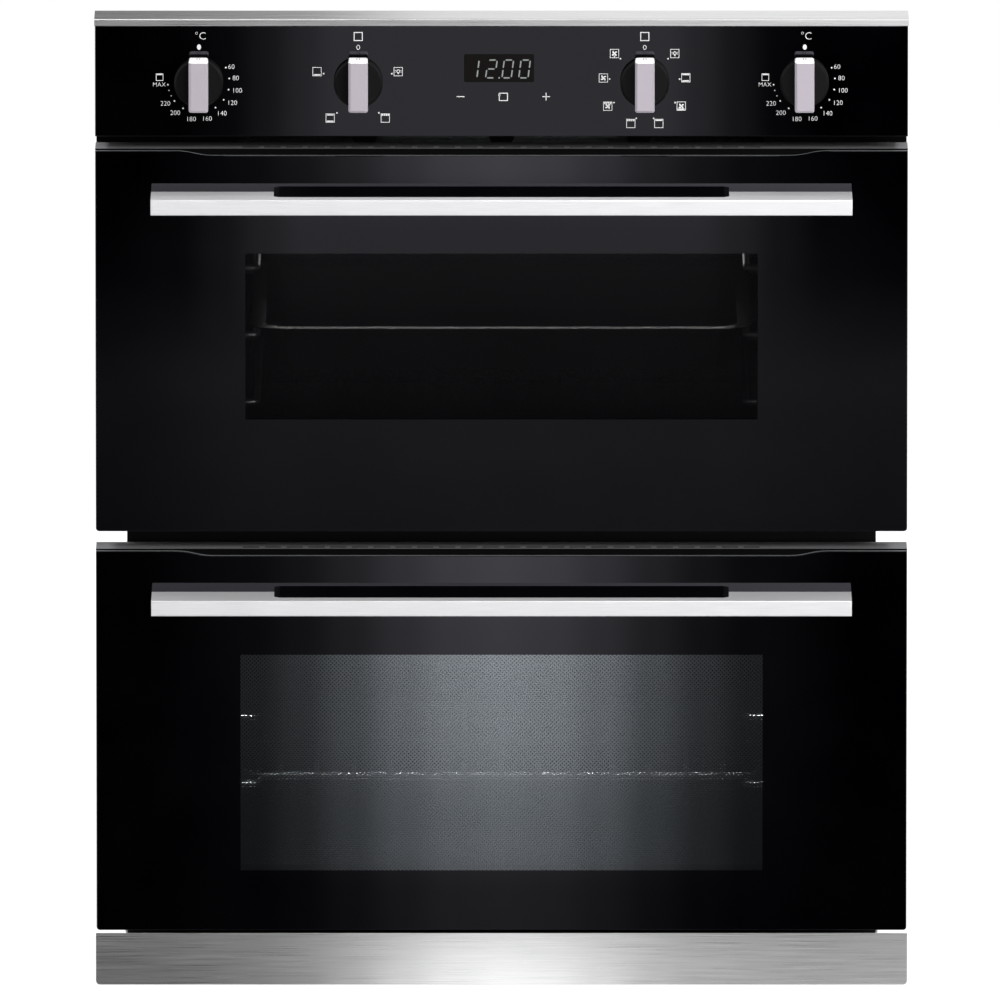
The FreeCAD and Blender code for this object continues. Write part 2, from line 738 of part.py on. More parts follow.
def top_trim():
    """The brushed steel angle along the top edge, which rests on the control carrier."""
    body = new_body("top_trim", y=FRONT, z=f"{TOP} - top_trim_height")
    pad(body, "trim_face", "XZ_Plane", "0", "trim_sheet",
        rectangle("-front_width / 2", "0", "front_width", "top_trim_height"))
    pad(body, "trim_return", "XY_Plane", "top_trim_height - trim_sheet", "trim_sheet",
        rectangle("-front_width / 2", "0", "front_width", f"glass_thickness + {CARRIER_DEPTH}"))
    fold = number("top_trim_height")
    dress(body, "Fillet", "trim_fold", "trim_bend",
          lambda edge: runs_along(edge, "X") and edge.BoundBox.YMax < 1e-6
          and abs(edge.CenterOfMass.z - fold) < 1e-6)


# Control panel


def polish(body, name):
    """The ground and polished bevel round the front face of a pane."""
    dress(body, "Chamfer", name, "glass_edge",
          lambda edge: edge.BoundBox.YMax < 1e-6 and edge.BoundBox.YMin > -1e-6)


def control_glass():
    """The black glass in front of the controls, drilled for the four knob stems."""
    body = new_body("control_glass", y=FRONT, z=CONTROL)
    pad(body, "control_pane", "XZ_Plane", "0", "glass_thickness",
        rectangle(f"-{GLASS_WIDTH} / 2", "0", GLASS_WIDTH, "control_height"))
    polish(body, "control_bevel")
    pocket(body, "control_holes", "XZ_Plane", "0", "glass_thickness",
           *[circle(x, "knob_height", "stem_hole_radius") for x in KNOBS.values()])


def control_carrier():
    """The open-backed housing behind the control glass, which the controls and the clock sit in."""
    body = new_body("control_carrier", y=GLASS_BACK, z=CONTROL)
    tall = "(control_height + top_trim_height - trim_sheet - carrier_inset)"
    pad(body, "carrier_block", "XZ_Plane", "0", CARRIER_DEPTH,
        rectangle(f"-{CARRIER_WIDTH} / 2", "carrier_inset", CARRIER_WIDTH, tall))
    pocket(body, "carrier_inside", "XZ_Plane", "carrier_wall", f"{CARRIER_DEPTH} - carrier_wall",
           rectangle(f"carrier_wall - {CARRIER_WIDTH} / 2", "carrier_inset + carrier_wall",
                     f"{CARRIER_WIDTH} - 2 * carrier_wall", f"{tall} - 2 * carrier_wall"))
    pocket(body, "carrier_holes", "XZ_Plane", "0", "carrier_wall",
           rectangle("-module_width / 2 - module_clearance",
                     "module_center - module_height / 2 - module_clearance",
                     "module_width + 2 * module_clearance", "module_height + 2 * module_clearance"),
           *[circle(x, "knob_height", "stem_hole_radius") for x in KNOBS.values()])


def display_module():
    """The clock: a block that fills the carrier's window, with a flange behind it."""
    body = new_body("display_module", y=GLASS_BACK, z=f"{CONTROL} + module_center")
    pad(body, "module_block", "XZ_Plane", "0", "module_depth",
        rectangle("-module_width / 2", "-module_height / 2", "module_width", "module_height"))
    pad(body, "module_rim", "XZ_Plane", "carrier_wall", "module_depth / 2",
        rectangle("-module_width / 2 - module_flange", "-module_height / 2 - module_flange",
                  "module_width + 2 * module_flange", "module_height + 2 * module_flange"))


def control_body(label, side_x, outline):
    """One switch or thermostat on the back of the carrier, bored for the knob stem."""
    body = new_body(label, x=side_x, y=CARRIER_FRONT, z=f"{CONTROL} + knob_height", node=False)
    depth = "switch_depth" if "selector" in label else "thermostat_depth"
    pad(body, f"{label}_base", "XZ_Plane", "0", "switch_base",
        rectangle("-switch_radius", "-switch_radius", "2 * switch_radius", "2 * switch_radius",
                  "skirt_bevel"))
    pad(body, f"{label}_can", "XZ_Plane", "switch_base", depth, outline)
    pocket(body, f"{label}_bore", "XZ_Plane", "0", "stem_insert + switch_base",
           circle("0", "0", "stem_radius + running_gap"))
    return body


def controls():
    """Two rotary selectors and two thermostats."""
    round_can = circle("0", "0", "switch_radius - skirt_bevel")
    square_can = rectangle("-thermostat_width / 2", "-thermostat_height / 2", "thermostat_width",
                           "thermostat_height", "skirt_bevel")
    group("selector_switches", [control_body("selector_left", KNOBS["upper_function"], round_can),
                                control_body("selector_right", KNOBS["lower_function"], round_can)])
    group("thermostats", [control_body("thermostat_left", KNOBS["upper_temperature"], square_can),
                          control_body("thermostat_right", KNOBS["lower_temperature"], square_can)])


def knob(label, side_x):
    """A black skirt with its stem, and the silver grip bar on its face."""
    skirt = new_body(f"{label}_knob_skirt", x=side_x, y=FRONT, z=f"{CONTROL} + knob_height")
    face = "(-knob_gap - skirt_depth)"
    stem_end = "(glass_thickness + carrier_wall + stem_insert)"
    turn(skirt, f"{label}_skirt_turned",
         ("0", face), ("skirt_radius - skirt_bevel", face), ("skirt_radius", f"{face} + skirt_bevel"),
         ("skirt_radius", "-knob_gap"), ("stem_radius", "-knob_gap"), ("stem_radius", stem_end),
         ("0", stem_end))
    grip = new_body(f"{label}_knob_grip", x=side_x, y=f"{FRONT} + {face}", z=f"{CONTROL} + knob_height")
    pad(grip, f"{label}_grip_bar", "XZ_Plane", "-grip_depth", "grip_depth",
        rectangle("-grip_width / 2", "-grip_length / 2", "grip_width", "grip_length", "grip_corner"))
    front = -number("grip_depth")
    dress(grip, "Chamfer", f"{label}_grip_bevel", "grip_bevel",
          lambda edge: abs(edge.BoundBox.YMin - front) < 1e-6 and abs(edge.BoundBox.YMax - front) < 1e-6)


# Cooling air


def air_outlet_grille():
    """The black outlet under the control panel, with four wide slots whose ends lean inwards."""
    body = new_body("air_outlet_grille", y=f"{FRAME} - grille_depth", z=f"{FRAME_TOP} - grille_height")
    pad(body, "grille_bar", "XZ_Plane", "0", "grille_depth",
        rectangle(f"-{GRILLE_WIDTH} / 2", "0", GRILLE_WIDTH, "grille_height", "air_slot_margin"))
    left = f"-{AIR_SPAN} / 2"
    right = f"({left} + air_slot_width)"
    high = "grille_height - air_slot_margin"
    slot = pocket(body, "grille_slot", "XZ_Plane", "0", "grille_depth",
                  polygon((left, "air_slot_margin"), (right, "air_slot_margin"),
                          (f"{right} - air_slot_slant", high), (f"{left} + air_slot_slant", high)))
    row(body, slot, "H_Axis", "air_slot_pitch", "air_slots")


def blower():
    """A cross-flow blower: scroll housing with a duct to the outlet, drum rotor and end motor."""
    axis_z = f"({FRAME_TOP} - grille_height + blower_lift)"
    duct_low = f"({FRAME_TOP} - grille_height + air_slot_margin - blower_wall)"
    duct_tall = "(grille_height - 2 * air_slot_margin + 2 * blower_wall)"
    axis_y = f"({FRAME_BACK} + blower_back)"
    shells = []
    for name, inset in (("outside", "0"), ("inside", "blower_wall")):
        wide = f"({BLOWER_WIDTH} - 2 * {inset})"
        scroll = doc.addObject("Part::Cylinder", f"scroll_{name}")
        bind(scroll, "Radius", f"scroll_radius - {inset}")
        bind(scroll, "Height", wide)
        scroll.Placement.Rotation = FreeCAD.Rotation(FreeCAD.Vector(0, 1, 0), 90)
        place(scroll, f"-{wide} / 2", axis_y, axis_z)
        duct = doc.addObject("Part::Box", f"duct_{name}")
        bind(duct, "Length", wide)
        bind(duct, "Width", "blower_back")
        bind(duct, "Height", f"{duct_tall} - 2 * {inset}")
        place(duct, f"-{wide} / 2", FRAME_BACK, f"{duct_low} + {inset}")
        shell = doc.addObject("Part::Fuse", f"blower_{name}")
        shell.Base = scroll
        shell.Tool = duct
        shells.append(shell)
    intake = doc.addObject("Part::Box", "blower_intake")
    bind(intake, "Length", f"{BLOWER_WIDTH} - 8 * blower_wall")
    bind(intake, "Width", "scroll_radius")
    bind(intake, "Height", "scroll_radius")
    place(intake, f"4 * blower_wall - {BLOWER_WIDTH} / 2", axis_y, f"{axis_z} + scroll_radius / 4")
    bearing = doc.addObject("Part::Cylinder", "blower_bearing")
    bind(bearing, "Radius", "rotor_shaft_radius + running_gap")
    bind(bearing, "Height", BLOWER_WIDTH)
    bearing.Placement.Rotation = FreeCAD.Rotation(FreeCAD.Vector(0, 1, 0), 90)
    place(bearing, f"-{BLOWER_WIDTH} / 2", axis_y, axis_z)
    voids = doc.addObject("Part::MultiFuse", "blower_voids")
    voids.Shapes = [shells[1], intake, bearing]
    housing = doc.addObject("Part::Cut", "blower_housing")
    housing.Label = "blower_housing"
    housing.Base = shells[0]
    housing.Tool = voids
    nodes.append(housing)

    rotor = new_body("blower_rotor", x=f"-{BLOWER_WIDTH} / 2", y=axis_y, z=axis_z)
    first = "(blower_wall + rotor_side_gap)"
    length = f"({BLOWER_WIDTH} - 2 * {first})"
    pad(rotor, "rotor_shaft", "YZ_Plane", "0", BLOWER_WIDTH, circle("0", "0", "rotor_shaft_radius"))
    for name, start in (("near", first), ("far", f"{first} + {length} - rotor_disc")):
        pad(rotor, f"rotor_{name}_disc", "YZ_Plane", start, "rotor_disc", circle("0", "0", "rotor_radius"))
    blade = pad(rotor, "rotor_vane", "YZ_Plane", first, length,
                rectangle("rotor_radius - rotor_blade - rotor_blade_sheet", "-rotor_blade_sheet / 2",
                          "rotor_blade", "rotor_blade_sheet"))
    ring(rotor, blade, "rotor_blades")

    motor = new_body("blower_motor", x=f"{BLOWER_WIDTH} / 2", y=axis_y, z=axis_z)
    pad(motor, "blower_motor_can", "YZ_Plane", "0", "blower_motor_length",
        circle("0", "0", "blower_motor_radius"))
    pad(motor, "blower_motor_cap", "YZ_Plane", "0", "blower_motor_length + skirt_bevel * 4",
        circle("0", "0", "blower_motor_radius / 2"))


# Cavities and what is in them


def cavity(oven, door, tall):
    """An enamelled liner, open at the front, with a welding flange round its mouth."""
    body = new_body(f"{oven}_cavity", y=FRAME_BACK, z=floor_of(door))

    def outline(grow):
        return rectangle(f"-{CAVITY_WIDTH} / 2 - ({grow})", f"-({grow})", f"{CAVITY_WIDTH} + 2 * ({grow})",
                         f"{tall} + 2 * ({grow})", f"cavity_corner + {grow}")

    pad(body, f"{oven}_flange", "XZ_Plane", "0", "cavity_wall", outline("cavity_wall + cavity_flange"))
    pad(body, f"{oven}_shell", "XZ_Plane", "0", f"{CAVITY_DEPTH} + cavity_wall", outline("cavity_wall"))
    pocket(body, f"{oven}_inside", "XZ_Plane", "0", CAVITY_DEPTH, outline("0"))
    last = "grill_pitch * (grill_runs - 1) / 2"
    hole = "element_radius + element_hole_gap"
    holes = [circle(f"{side} * {last}", f"{tall} - grill_drop", hole) for side in (-1, 1)]
    holes.append(circle(LAMP_X, "lamp_height", "lamp_socket_radius + lamp_hole_gap"))
    if oven == "lower":
        holes.append(circle("0", FAN_HEIGHT, "fan_shaft_hole"))
        top = f"{FAN_HEIGHT} + {RING_RADIUS}"
        holes += [circle(f"{side} * ring_leg_offset", top, hole) for side in (-1, 1)]
    pocket(body, f"{oven}_back_holes", "XZ_Plane", CAVITY_DEPTH, "cavity_wall", *holes)


def seal(oven, door, tall):
    """The soft gasket between the front frame and the closed door."""
    body = new_body(f"{oven}_seal", y=f"{FRAME} - door_clearance + seal_gap", z=floor_of(door))

    def outline(grow):
        return rectangle(f"-{CAVITY_WIDTH} / 2 - ({grow})", f"-({grow})", f"{CAVITY_WIDTH} + 2 * ({grow})",
                         f"{tall} + 2 * ({grow})", f"cavity_corner + {grow}")

    pad(body, f"{oven}_gasket", "XZ_Plane", "0", "door_clearance - seal_gap",
        outline("seal_margin + seal_width"), outline("seal_margin"))


def grill_element(oven, door, tall):
    """A tube that snakes back and forth under the roof, with both ends through the back wall."""
    runs = int(number("grill_runs"))
    pitch = number("grill_pitch")
    front = number("grill_front")
    back = number(f"{CAVITY_DEPTH} - grill_back")
    tail = number(f"{CAVITY_DEPTH} + cavity_wall + terminal_reach")
    points = [FreeCAD.Vector(-pitch * (runs - 1) / 2, tail, 0)]
    for k in range(runs):
        x = pitch * (k - (runs - 1) / 2)
        ends = (back, front) if k % 2 == 0 else (front, back)
        points += [FreeCAD.Vector(x, y, 0) for y in ends]
    points[1:2] = []
    points[-1] = FreeCAD.Vector(pitch * (runs - 1) / 2, tail, 0)
    shape = tube(points, number("element_radius"), pitch * 0.45)
    wire_part(f"{oven}_grill_element", shape, y=FRAME_BACK, z=f"{floor_of(door)} + {tall} - grill_drop")


def base_elements():
    """The bottom heat: one U-shaped tube under each cavity floor."""
    half = number("base_element_width / 2")
    front = number("grill_front")
    tail = number(f"{CAVITY_DEPTH} + cavity_wall + terminal_reach")
    points = [FreeCAD.Vector(-half, tail, 0), FreeCAD.Vector(-half, front, 0)]
    points += [FreeCAD.Vector(half, front, 0), FreeCAD.Vector(half, tail, 0)]
    shape = tube(points, number("element_radius"), number("base_element_bend"))
    pieces = []
    for oven, (door, _, _) in OVENS.items():
        item = doc.addObject("Part::Feature", f"{oven}_base_tube")
        item.Shape = shape
        place(item, "0", FRAME_BACK, f"{floor_of(door)} - cavity_wall - element_radius - base_element_gap")
        pieces.append(item)
    group("base_elements", pieces)


def ring_element():
    """The ring heater round the fan, with two legs through the back wall."""
    leg = number("ring_leg_offset")
    radius = number(RING_RADIUS)
    thick = number("element_radius")
    hoop = Part.makeTorus(radius, thick, FreeCAD.Vector(0, 0, 0), FreeCAD.Vector(0, 1, 0))
    length = number("ring_stand + cavity_wall + terminal_reach")
    legs = []
    for side in (-1, 1):
        start = FreeCAD.Vector(side * leg, 0, math.sqrt(radius ** 2 - leg ** 2))
        lift = FreeCAD.Vector(side * leg, 0, radius)
        legs.append(Part.makeCylinder(thick, length, lift, FreeCAD.Vector(0, 1, 0)))
        legs.append(Part.makeSphere(thick, lift))
        legs.append(Part.makeSphere(thick, start))
    shape = hoop.multiFuse(legs).removeSplitter()
    place_y = f"{WALL_BACK} - ring_stand"
    wire_part("ring_element", shape, y=place_y, z=f"{floor_of(LOWER_DOOR)} + {FAN_HEIGHT}")


def fan_cover():
    """The pressed plate in front of the fan: a ring of radial intake slots and two banks of outlets."""
    body = new_body("fan_cover", y=f"{WALL_BACK} - cover_depth", z=f"{floor_of(LOWER_DOOR)} + {FAN_HEIGHT}")
    pad(body, "cover_block", "XZ_Plane", "0", "cover_depth",
        rectangle(f"-{COVER_WIDTH} / 2", f"-{COVER_HEIGHT} / 2", COVER_WIDTH, COVER_HEIGHT, "cover_corner"))
    pocket(body, "cover_inside", "XZ_Plane", "cover_sheet", "cover_depth - cover_sheet",
           rectangle(f"cover_sheet - {COVER_WIDTH} / 2", f"cover_sheet - {COVER_HEIGHT} / 2",
                     f"{COVER_WIDTH} - 2 * cover_sheet", f"{COVER_HEIGHT} - 2 * cover_sheet",
                     "cover_corner - cover_sheet"))
    slot = pocket(body, "intake_slot", "XZ_Plane", "0", "cover_sheet",
                  polygon(("-intake_slot_width / 5", "intake_inner"),
                          ("intake_slot_width / 5", "intake_inner"),
                          ("intake_slot_width / 2", "intake_outer"),
                          ("-intake_slot_width / 2", "intake_outer")))
    ring(body, slot, "intake_slots")
    for side, name in ((-1, "left"), (1, "right")):
        start = f"{side} * outlet_slot_start - outlet_slot_width / 2"
        start += " - outlet_slot_step * (outlet_slots - 1)" if side < 0 else ""
        slot = pocket(body, f"{name}_outlet", "XZ_Plane", "0", "cover_sheet",
                      rectangle(start, "-outlet_slot_height / 2", "outlet_slot_width", "outlet_slot_height"))
        row(body, slot, "H_Axis", "outlet_slot_step", "outlet_slots")


def circulation_fan():
    """The fan wheel: a back disc with leaning blades, on a shaft that runs in the motor behind the wall."""
    axis_z = f"{floor_of(LOWER_DOOR)} + {FAN_HEIGHT}"
    wheel = new_body("fan_impeller", y=WALL_BACK, z=axis_z)
    disc = "(-fan_wall_gap - fan_sheet)"
    pad(wheel, "fan_shaft", "XZ_Plane", f"{disc} - fan_blade_depth",
        f"fan_blade_depth - {disc} + cavity_wall + fan_shaft_tail", circle("0", "0", "fan_shaft_radius"))
    pad(wheel, "fan_hub", "XZ_Plane", f"{disc} - fan_blade_depth / 2", "fan_blade_depth / 2",
        circle("0", "0", "fan_hub_radius"))
    pad(wheel, "fan_disc", "XZ_Plane", disc, "fan_sheet", circle("0", "0", FAN_RADIUS))
    outer = f"({FAN_RADIUS} - 2 * fan_sheet)"
    blade = pad(wheel, "fan_blade", "XZ_Plane", f"{disc} - fan_blade_depth", "fan_blade_depth",
                polygon(("-fan_sheet / 2", "fan_blade_inner"), ("fan_sheet / 2", "fan_blade_inner"),
                        ("fan_blade_slant + fan_sheet / 2", outer),
                        ("fan_blade_slant - fan_sheet / 2", outer)))
    ring(wheel, blade, "fan_blades")

    motor = new_body("fan_motor", y=LINER_BACK, z=axis_z)
    pad(motor, "motor_plate", "XZ_Plane", "0", "motor_plate_sheet",
        rectangle("-motor_plate_width / 2", "-motor_plate_height / 2", "motor_plate_width",
                  "motor_plate_height", "cover_corner"))
    pad(motor, "motor_can", "XZ_Plane", "0", "motor_length", circle("0", "0", "motor_radius"))
    pocket(motor, "motor_bore", "XZ_Plane", "0", "motor_length",
           circle("0", "0", "fan_shaft_radius + running_gap"))


def oven_lamps():
    """A lamp in the back wall of each cavity: a glass dome, a flange and the socket behind the wall."""
    lamps = []
    for oven, (door, _, _) in OVENS.items():
        lamp = new_body(f"{oven}_lamp", x=LAMP_X, y=WALL_BACK, z=f"{floor_of(door)} + lamp_height",
                        node=False)
        dome = "(-lamp_flange_depth - lamp_lens_depth)"
        turn(lamp, f"{oven}_lamp_turned",
             ("0", dome), ("lamp_lens_radius * 0.7", f"{dome} + lamp_lens_depth * 0.3"),
             ("lamp_lens_radius", "-lamp_flange_depth"), ("lamp_flange_radius", "-lamp_flange_depth"),
             ("lamp_flange_radius", "0"), ("lamp_socket_radius", "0"),
             ("lamp_socket_radius", "cavity_wall + lamp_socket_length"),
             ("0", "cavity_wall + lamp_socket_length"))
        lamps.append(lamp)
    group("oven_lamps", lamps)


def side_racks(oven, door, tall, first):
    """The chromed ladders on both side walls: two posts and a U-shaped rail at each level."""
    radius = number("rack_wire_radius")
    post = number("rack_post_radius")
    wall = number(f"{CAVITY_WIDTH} / 2 - rack_wall_gap - rack_post_radius")
    rail = number(f"{CAVITY_WIDTH} / 2 - rack_rail_reach")
    length = number(RACK_LENGTH)
    inset = number("rack_post_inset")
    low = number("rack_post_end")
    high = number(f"{tall} - rack_post_end")
    racks = []
    for side, name in ((-1, "left"), (1, "right")):
        pieces = []
        for y in (inset, length - inset):
            ends = [FreeCAD.Vector(side * wall, y, z) for z in (low, high)]
            pieces.append(tube(ends, post))
        for level in range(int(number("rack_levels"))):
            z = number(f"{first} + rack_step * {level}")
            corners = [(wall, inset), (wall, 0), (rail, 0), (rail, length), (wall, length)]
            corners.append((wall, length - inset))
            points = [FreeCAD.Vector(side * x, y, z) for x, y in corners]
            pieces.append(tube(points, radius, number("rack_bend")))
        item = doc.addObject("Part::Feature", f"{oven}_rack_{name}")
        item.Shape = pieces[0].multiFuse(pieces[1:])
        place(item, "0", f"{FRAME_BACK} + rack_front", floor_of(door))
        racks.append(item)
    group(f"{oven}_side_racks", racks)


def lower_shelf():
    """The wire shelf: a bent frame with rods welded on top of its front and back rails."""
    rail = number("shelf_rail_radius")
    rod = number("shelf_rod_radius")
    rods = int(number("shelf_rods"))
    length = number(f"{SHELF_LENGTH} - 2 * shelf_rail_radius")
    half = number(SHELF_HALF)
    pitch = 2 * half / (rods + 1)
    corners = [(-half, 0), (half, 0), (half, length), (-half, length)]
    frame = tube([FreeCAD.Vector(x, y, 0) for x, y in corners], rail, number("shelf_corner"), closed=True)
    height = rail + rod - number("weld_depth")
    bars = []
    for k in range(rods):
        start = FreeCAD.Vector(pitch * (k - (rods - 1) / 2), -rail, height)
        bars.append(Part.makeCylinder(rod, length + 2 * rail, start, FreeCAD.Vector(0, 1, 0)))
    middle = FreeCAD.Vector(-half, length / 2, 0)
    cross = number("shelf_cross_radius")
    bars.append(Part.makeCylinder(cross, 2 * half, middle, FreeCAD.Vector(1, 0, 0)))
    rest = f"{floor_of(LOWER_DOOR)} + lower_rack_first + rack_wire_radius + rest_gap + shelf_rail_radius"
    front = f"{FRAME_BACK} + shelf_front + shelf_rail_radius"
    wire_part("lower_shelf", frame.multiFuse(bars), y=front, z=rest)


def grill_pan():
    """The enamelled pan: sloping walls under a flat rim that hangs on the racks."""
    level = "(upper_rack_first + rack_step + rack_wire_radius + rest_gap)"
    body = new_body("grill_pan", y=f"{FRAME_BACK} + pan_front", z=f"{floor_of(UPPER_DOOR)} + {level}")

    def outline(inset):
        return rectangle(f"-{PAN_WIDTH} / 2 + {inset}", inset, f"{PAN_WIDTH} - 2 * ({inset})",
                         f"{PAN_LENGTH} - 2 * ({inset})", f"pan_corner - ({inset}) / 2")

    pad(body, "pan_rim", "XY_Plane", "0", "pan_sheet", outline("0"))
    outside = "pan_rim_flange"
    for name, kind, grow, bottom, top in (("pan_outside", "AdditiveLoft", "0", "-pan_depth", "0"),
                                          ("pan_hollow", "SubtractiveLoft", "pan_sheet",
                                           "pan_sheet - pan_depth", "pan_sheet")):
        loft = body.newObject(f"PartDesign::{kind}", name)
        loft.Profile = new_sketch(body, f"{name}_base", "XY_Plane", bottom,
                                  [outline(f"{outside} + pan_slope + {grow}")])
        loft.Sections = [new_sketch(body, f"{name}_mouth", "XY_Plane", top, [outline(f"{outside} + {grow}")])]
        loft.Ruled = True


# Doors


def outer_glass(oven, door):
    """The black front glass; its top edge dips in the middle through two gentle S-bends."""
    body = new_body(f"{oven}_outer_glass", y=FRONT, z=door)
    feature = body.newObject("PartDesign::Pad", f"{oven}_glass_pane")
    sketch = new_sketch(body, f"{oven}_glass_outline", "XZ_Plane", "0", [])
    half = number(f"{GLASS_WIDTH} / 2")
    high = number("door_height")
    low = number("door_height - dip_depth")
    outer = number(DIP_OUTER)
    inner = number(DIP_INNER)
    middle = FreeCAD.Vector((outer + inner) / 2, (high + low) / 2, 0)
    radius = ((outer - inner) ** 2 + (high - low) ** 2) / (4 * (high - low))
    sag = radius - math.sqrt(radius ** 2 - ((outer - inner) / 4) ** 2)

    def spot(x, y):
        return FreeCAD.Vector(x, y, 0)

    def bends(side):
        """The two arcs of one S-bend, from its outer end inwards."""
        knee = spot(side * middle.x, middle.y)
        upper = spot(side * (outer * 3 + inner) / 4, high - sag)
        lower = spot(side * (outer + inner * 3) / 4, low + sag)
        ends = spot(side * outer, high), spot(side * inner, low)
        return [Part.Arc(ends[0], upper, knee), Part.Arc(knee, lower, ends[1])]

    corners = [spot(-half, 0), spot(half, 0), spot(half, high), spot(outer, high)]
    shapes = [Part.LineSegment(corners[k], corners[k + 1]) for k in range(3)] + bends(1)
    shapes.append(Part.LineSegment(spot(inner, low), spot(-inner, low)))
    left = bends(-1)
    shapes += [Part.Arc(arc.EndPoint, arc.value((arc.FirstParameter + arc.LastParameter) / 2), arc.StartPoint)
               for arc in reversed(left)]
    shapes += [Part.LineSegment(spot(-outer, high), spot(-half, high)), Part.LineSegment(spot(-half, high),
                                                                                        spot(-half, 0))]
    sketch.addGeometry(shapes, False)
    make = Sketcher.Constraint
    last = len(shapes)

    def end_of(index, second):
        """The point number at which a shape meets the next one; arcs may be stored the other way round."""
        point = shapes[index].EndPoint if second else shapes[index].StartPoint
        for number_of_point in (1, 2):
            if sketch.getPoint(index, number_of_point).distanceToPoint(point) < 1e-6:
                return number_of_point
        raise ValueError("an outline point is missing")

    smooth = (2, 3, 4, 5, 6, 7)
    rules = []
    for k in range(last):
        kind = "Tangent" if k in smooth else "Coincident"
        rules.append(make(kind, k, end_of(k, True), (k + 1) % last, end_of((k + 1) % last, False)))
    rules += [make("Horizontal", k) for k in (0, 2, 5, 8)]
    rules += [make("Vertical", k) for k in (1, 9)]
    rules += [make("Equal", 3, k) for k in (4, 6, 7)]
    named = [("left", f"-{GLASS_WIDTH} / 2", make("DistanceX", -1, 1, 0, 1, -half))]
    named.append(("bottom", "0", make("DistanceY", -1, 1, 0, 1, 0)))
    named.append(("right", f"{GLASS_WIDTH} / 2", make("DistanceX", -1, 1, 0, 2, half)))
    named.append(("top", "door_height", make("DistanceY", -1, 1, 1, 2, high)))
    named.append(("dip_right", DIP_OUTER, make("DistanceX", -1, 1, 2, 2, outer)))
    named.append(("flat_right", DIP_INNER, make("DistanceX", -1, 1, 5, 1, inner)))
    named.append(("flat_left", f"-{DIP_INNER}", make("DistanceX", -1, 1, 5, 2, -inner)))
    named.append(("flat_height", "door_height - dip_depth", make("DistanceY", -1, 1, 5, 1, low)))
    constrain(sketch, rules, named)
    feature.Profile = sketch
    feature.Reversed = True
    bind(feature, "Length", "glass_thickness")
    level = number("door_height") / 2
    dress(body, "Fillet", f"{oven}_glass_corners", "glass_corner",
          lambda edge: runs_along(edge, "Y") and edge.CenterOfMass.z < level)
    polish(body, f"{oven}_glass_bevel")
    pocket(body, f"{oven}_glass_holes", "XZ_Plane", "0", "glass_thickness",
           *[circle(f"{side} * {HANDLE_SCREW_X}", HANDLE_MIDDLE, "handle_screw_hole") for side in (-1, 1)])


def inner_glass(oven, door, tall):
    """The clear pane that closes the oven, set into the back of the door frame."""
    body = new_body(f"{oven}_inner_glass", y=f"{FRONT} + door_depth - pane_thickness", z=door)
    pad(body, f"{oven}_pane", "XZ_Plane", "0", "pane_thickness",
        rectangle(f"-{CAVITY_WIDTH} / 2 - pane_overlap", "cavity_floor_rise - pane_margin",
                  f"{CAVITY_WIDTH} + 2 * pane_overlap", f"{tall} + 2 * pane_margin", "glass_corner"))


def door_frame(oven, door, tall):
    """The pressed frame between the two panes, open at the window, with notches for the hinges."""
    body = new_body(f"{oven}_door_frame", y=GLASS_BACK, z=door)
    half = f"({GLASS_WIDTH} / 2 - door_frame_inset)"
    high = "(door_height - rail_height)"
    depth = "(door_depth - glass_thickness)"
    window = (f"({CAVITY_WIDTH} / 2 - {oven}_window_side)", f"{oven}_window_low",
              f"(door_height - {oven}_window_drop)")

    def opening(grow):
        return rectangle(f"-{window[0]} - {grow}", f"{window[1]} - ({grow})",
                         f"2 * ({window[0]} + {grow})", f"{window[2]} - {window[1]} + 2 * ({grow})")

    pad(body, f"{oven}_frame_block", "XZ_Plane", "0", depth,
        rectangle(f"-{half}", "door_frame_lift", f"2 * {half}", f"{high} - door_frame_lift"),
        opening("window_rim"))
    pane_bed = f"({depth} - pane_thickness)"
    pocket(body, f"{oven}_pane_seat", "XZ_Plane", pane_bed, "pane_thickness",
           rectangle(f"-{CAVITY_WIDTH} / 2 - pane_overlap - pane_clearance",
                     "cavity_floor_rise - pane_margin - pane_clearance",
                     f"{CAVITY_WIDTH} + 2 * (pane_overlap + pane_clearance)",
                     f"{tall} + 2 * (pane_margin + pane_clearance)", "glass_corner"))
    pocket(body, f"{oven}_frame_hollow", "XZ_Plane", "0", f"{pane_bed} - door_skin",
           rectangle(f"door_wall - {half}", "door_frame_lift + door_wall", f"2 * ({half} - door_wall)",
                     f"{high} - door_frame_lift - 2 * door_wall"),
           opening("window_rim + door_wall"))
    inner = f"({CAVITY_WIDTH} / 2 + pane_overlap + pane_clearance + door_wall)"
    channel = f"({half} - door_wall - {inner})"
    pocket(body, f"{oven}_side_channels", "XZ_Plane", "0", f"{depth} - door_skin",
           *[rectangle(inner if side > 0 else f"-{inner} - {channel}", "door_frame_lift + door_wall", channel,
                       f"{high} - door_frame_lift - 2 * door_wall") for side in (-1, 1)])
    pocket(body, f"{oven}_hinge_notches", "XZ_Plane", "0", depth,
           *[rectangle(f"{side} * {HINGE_X} - notch_half", "0", "2 * notch_half", "notch_height")
             for side in (-1, 1)])


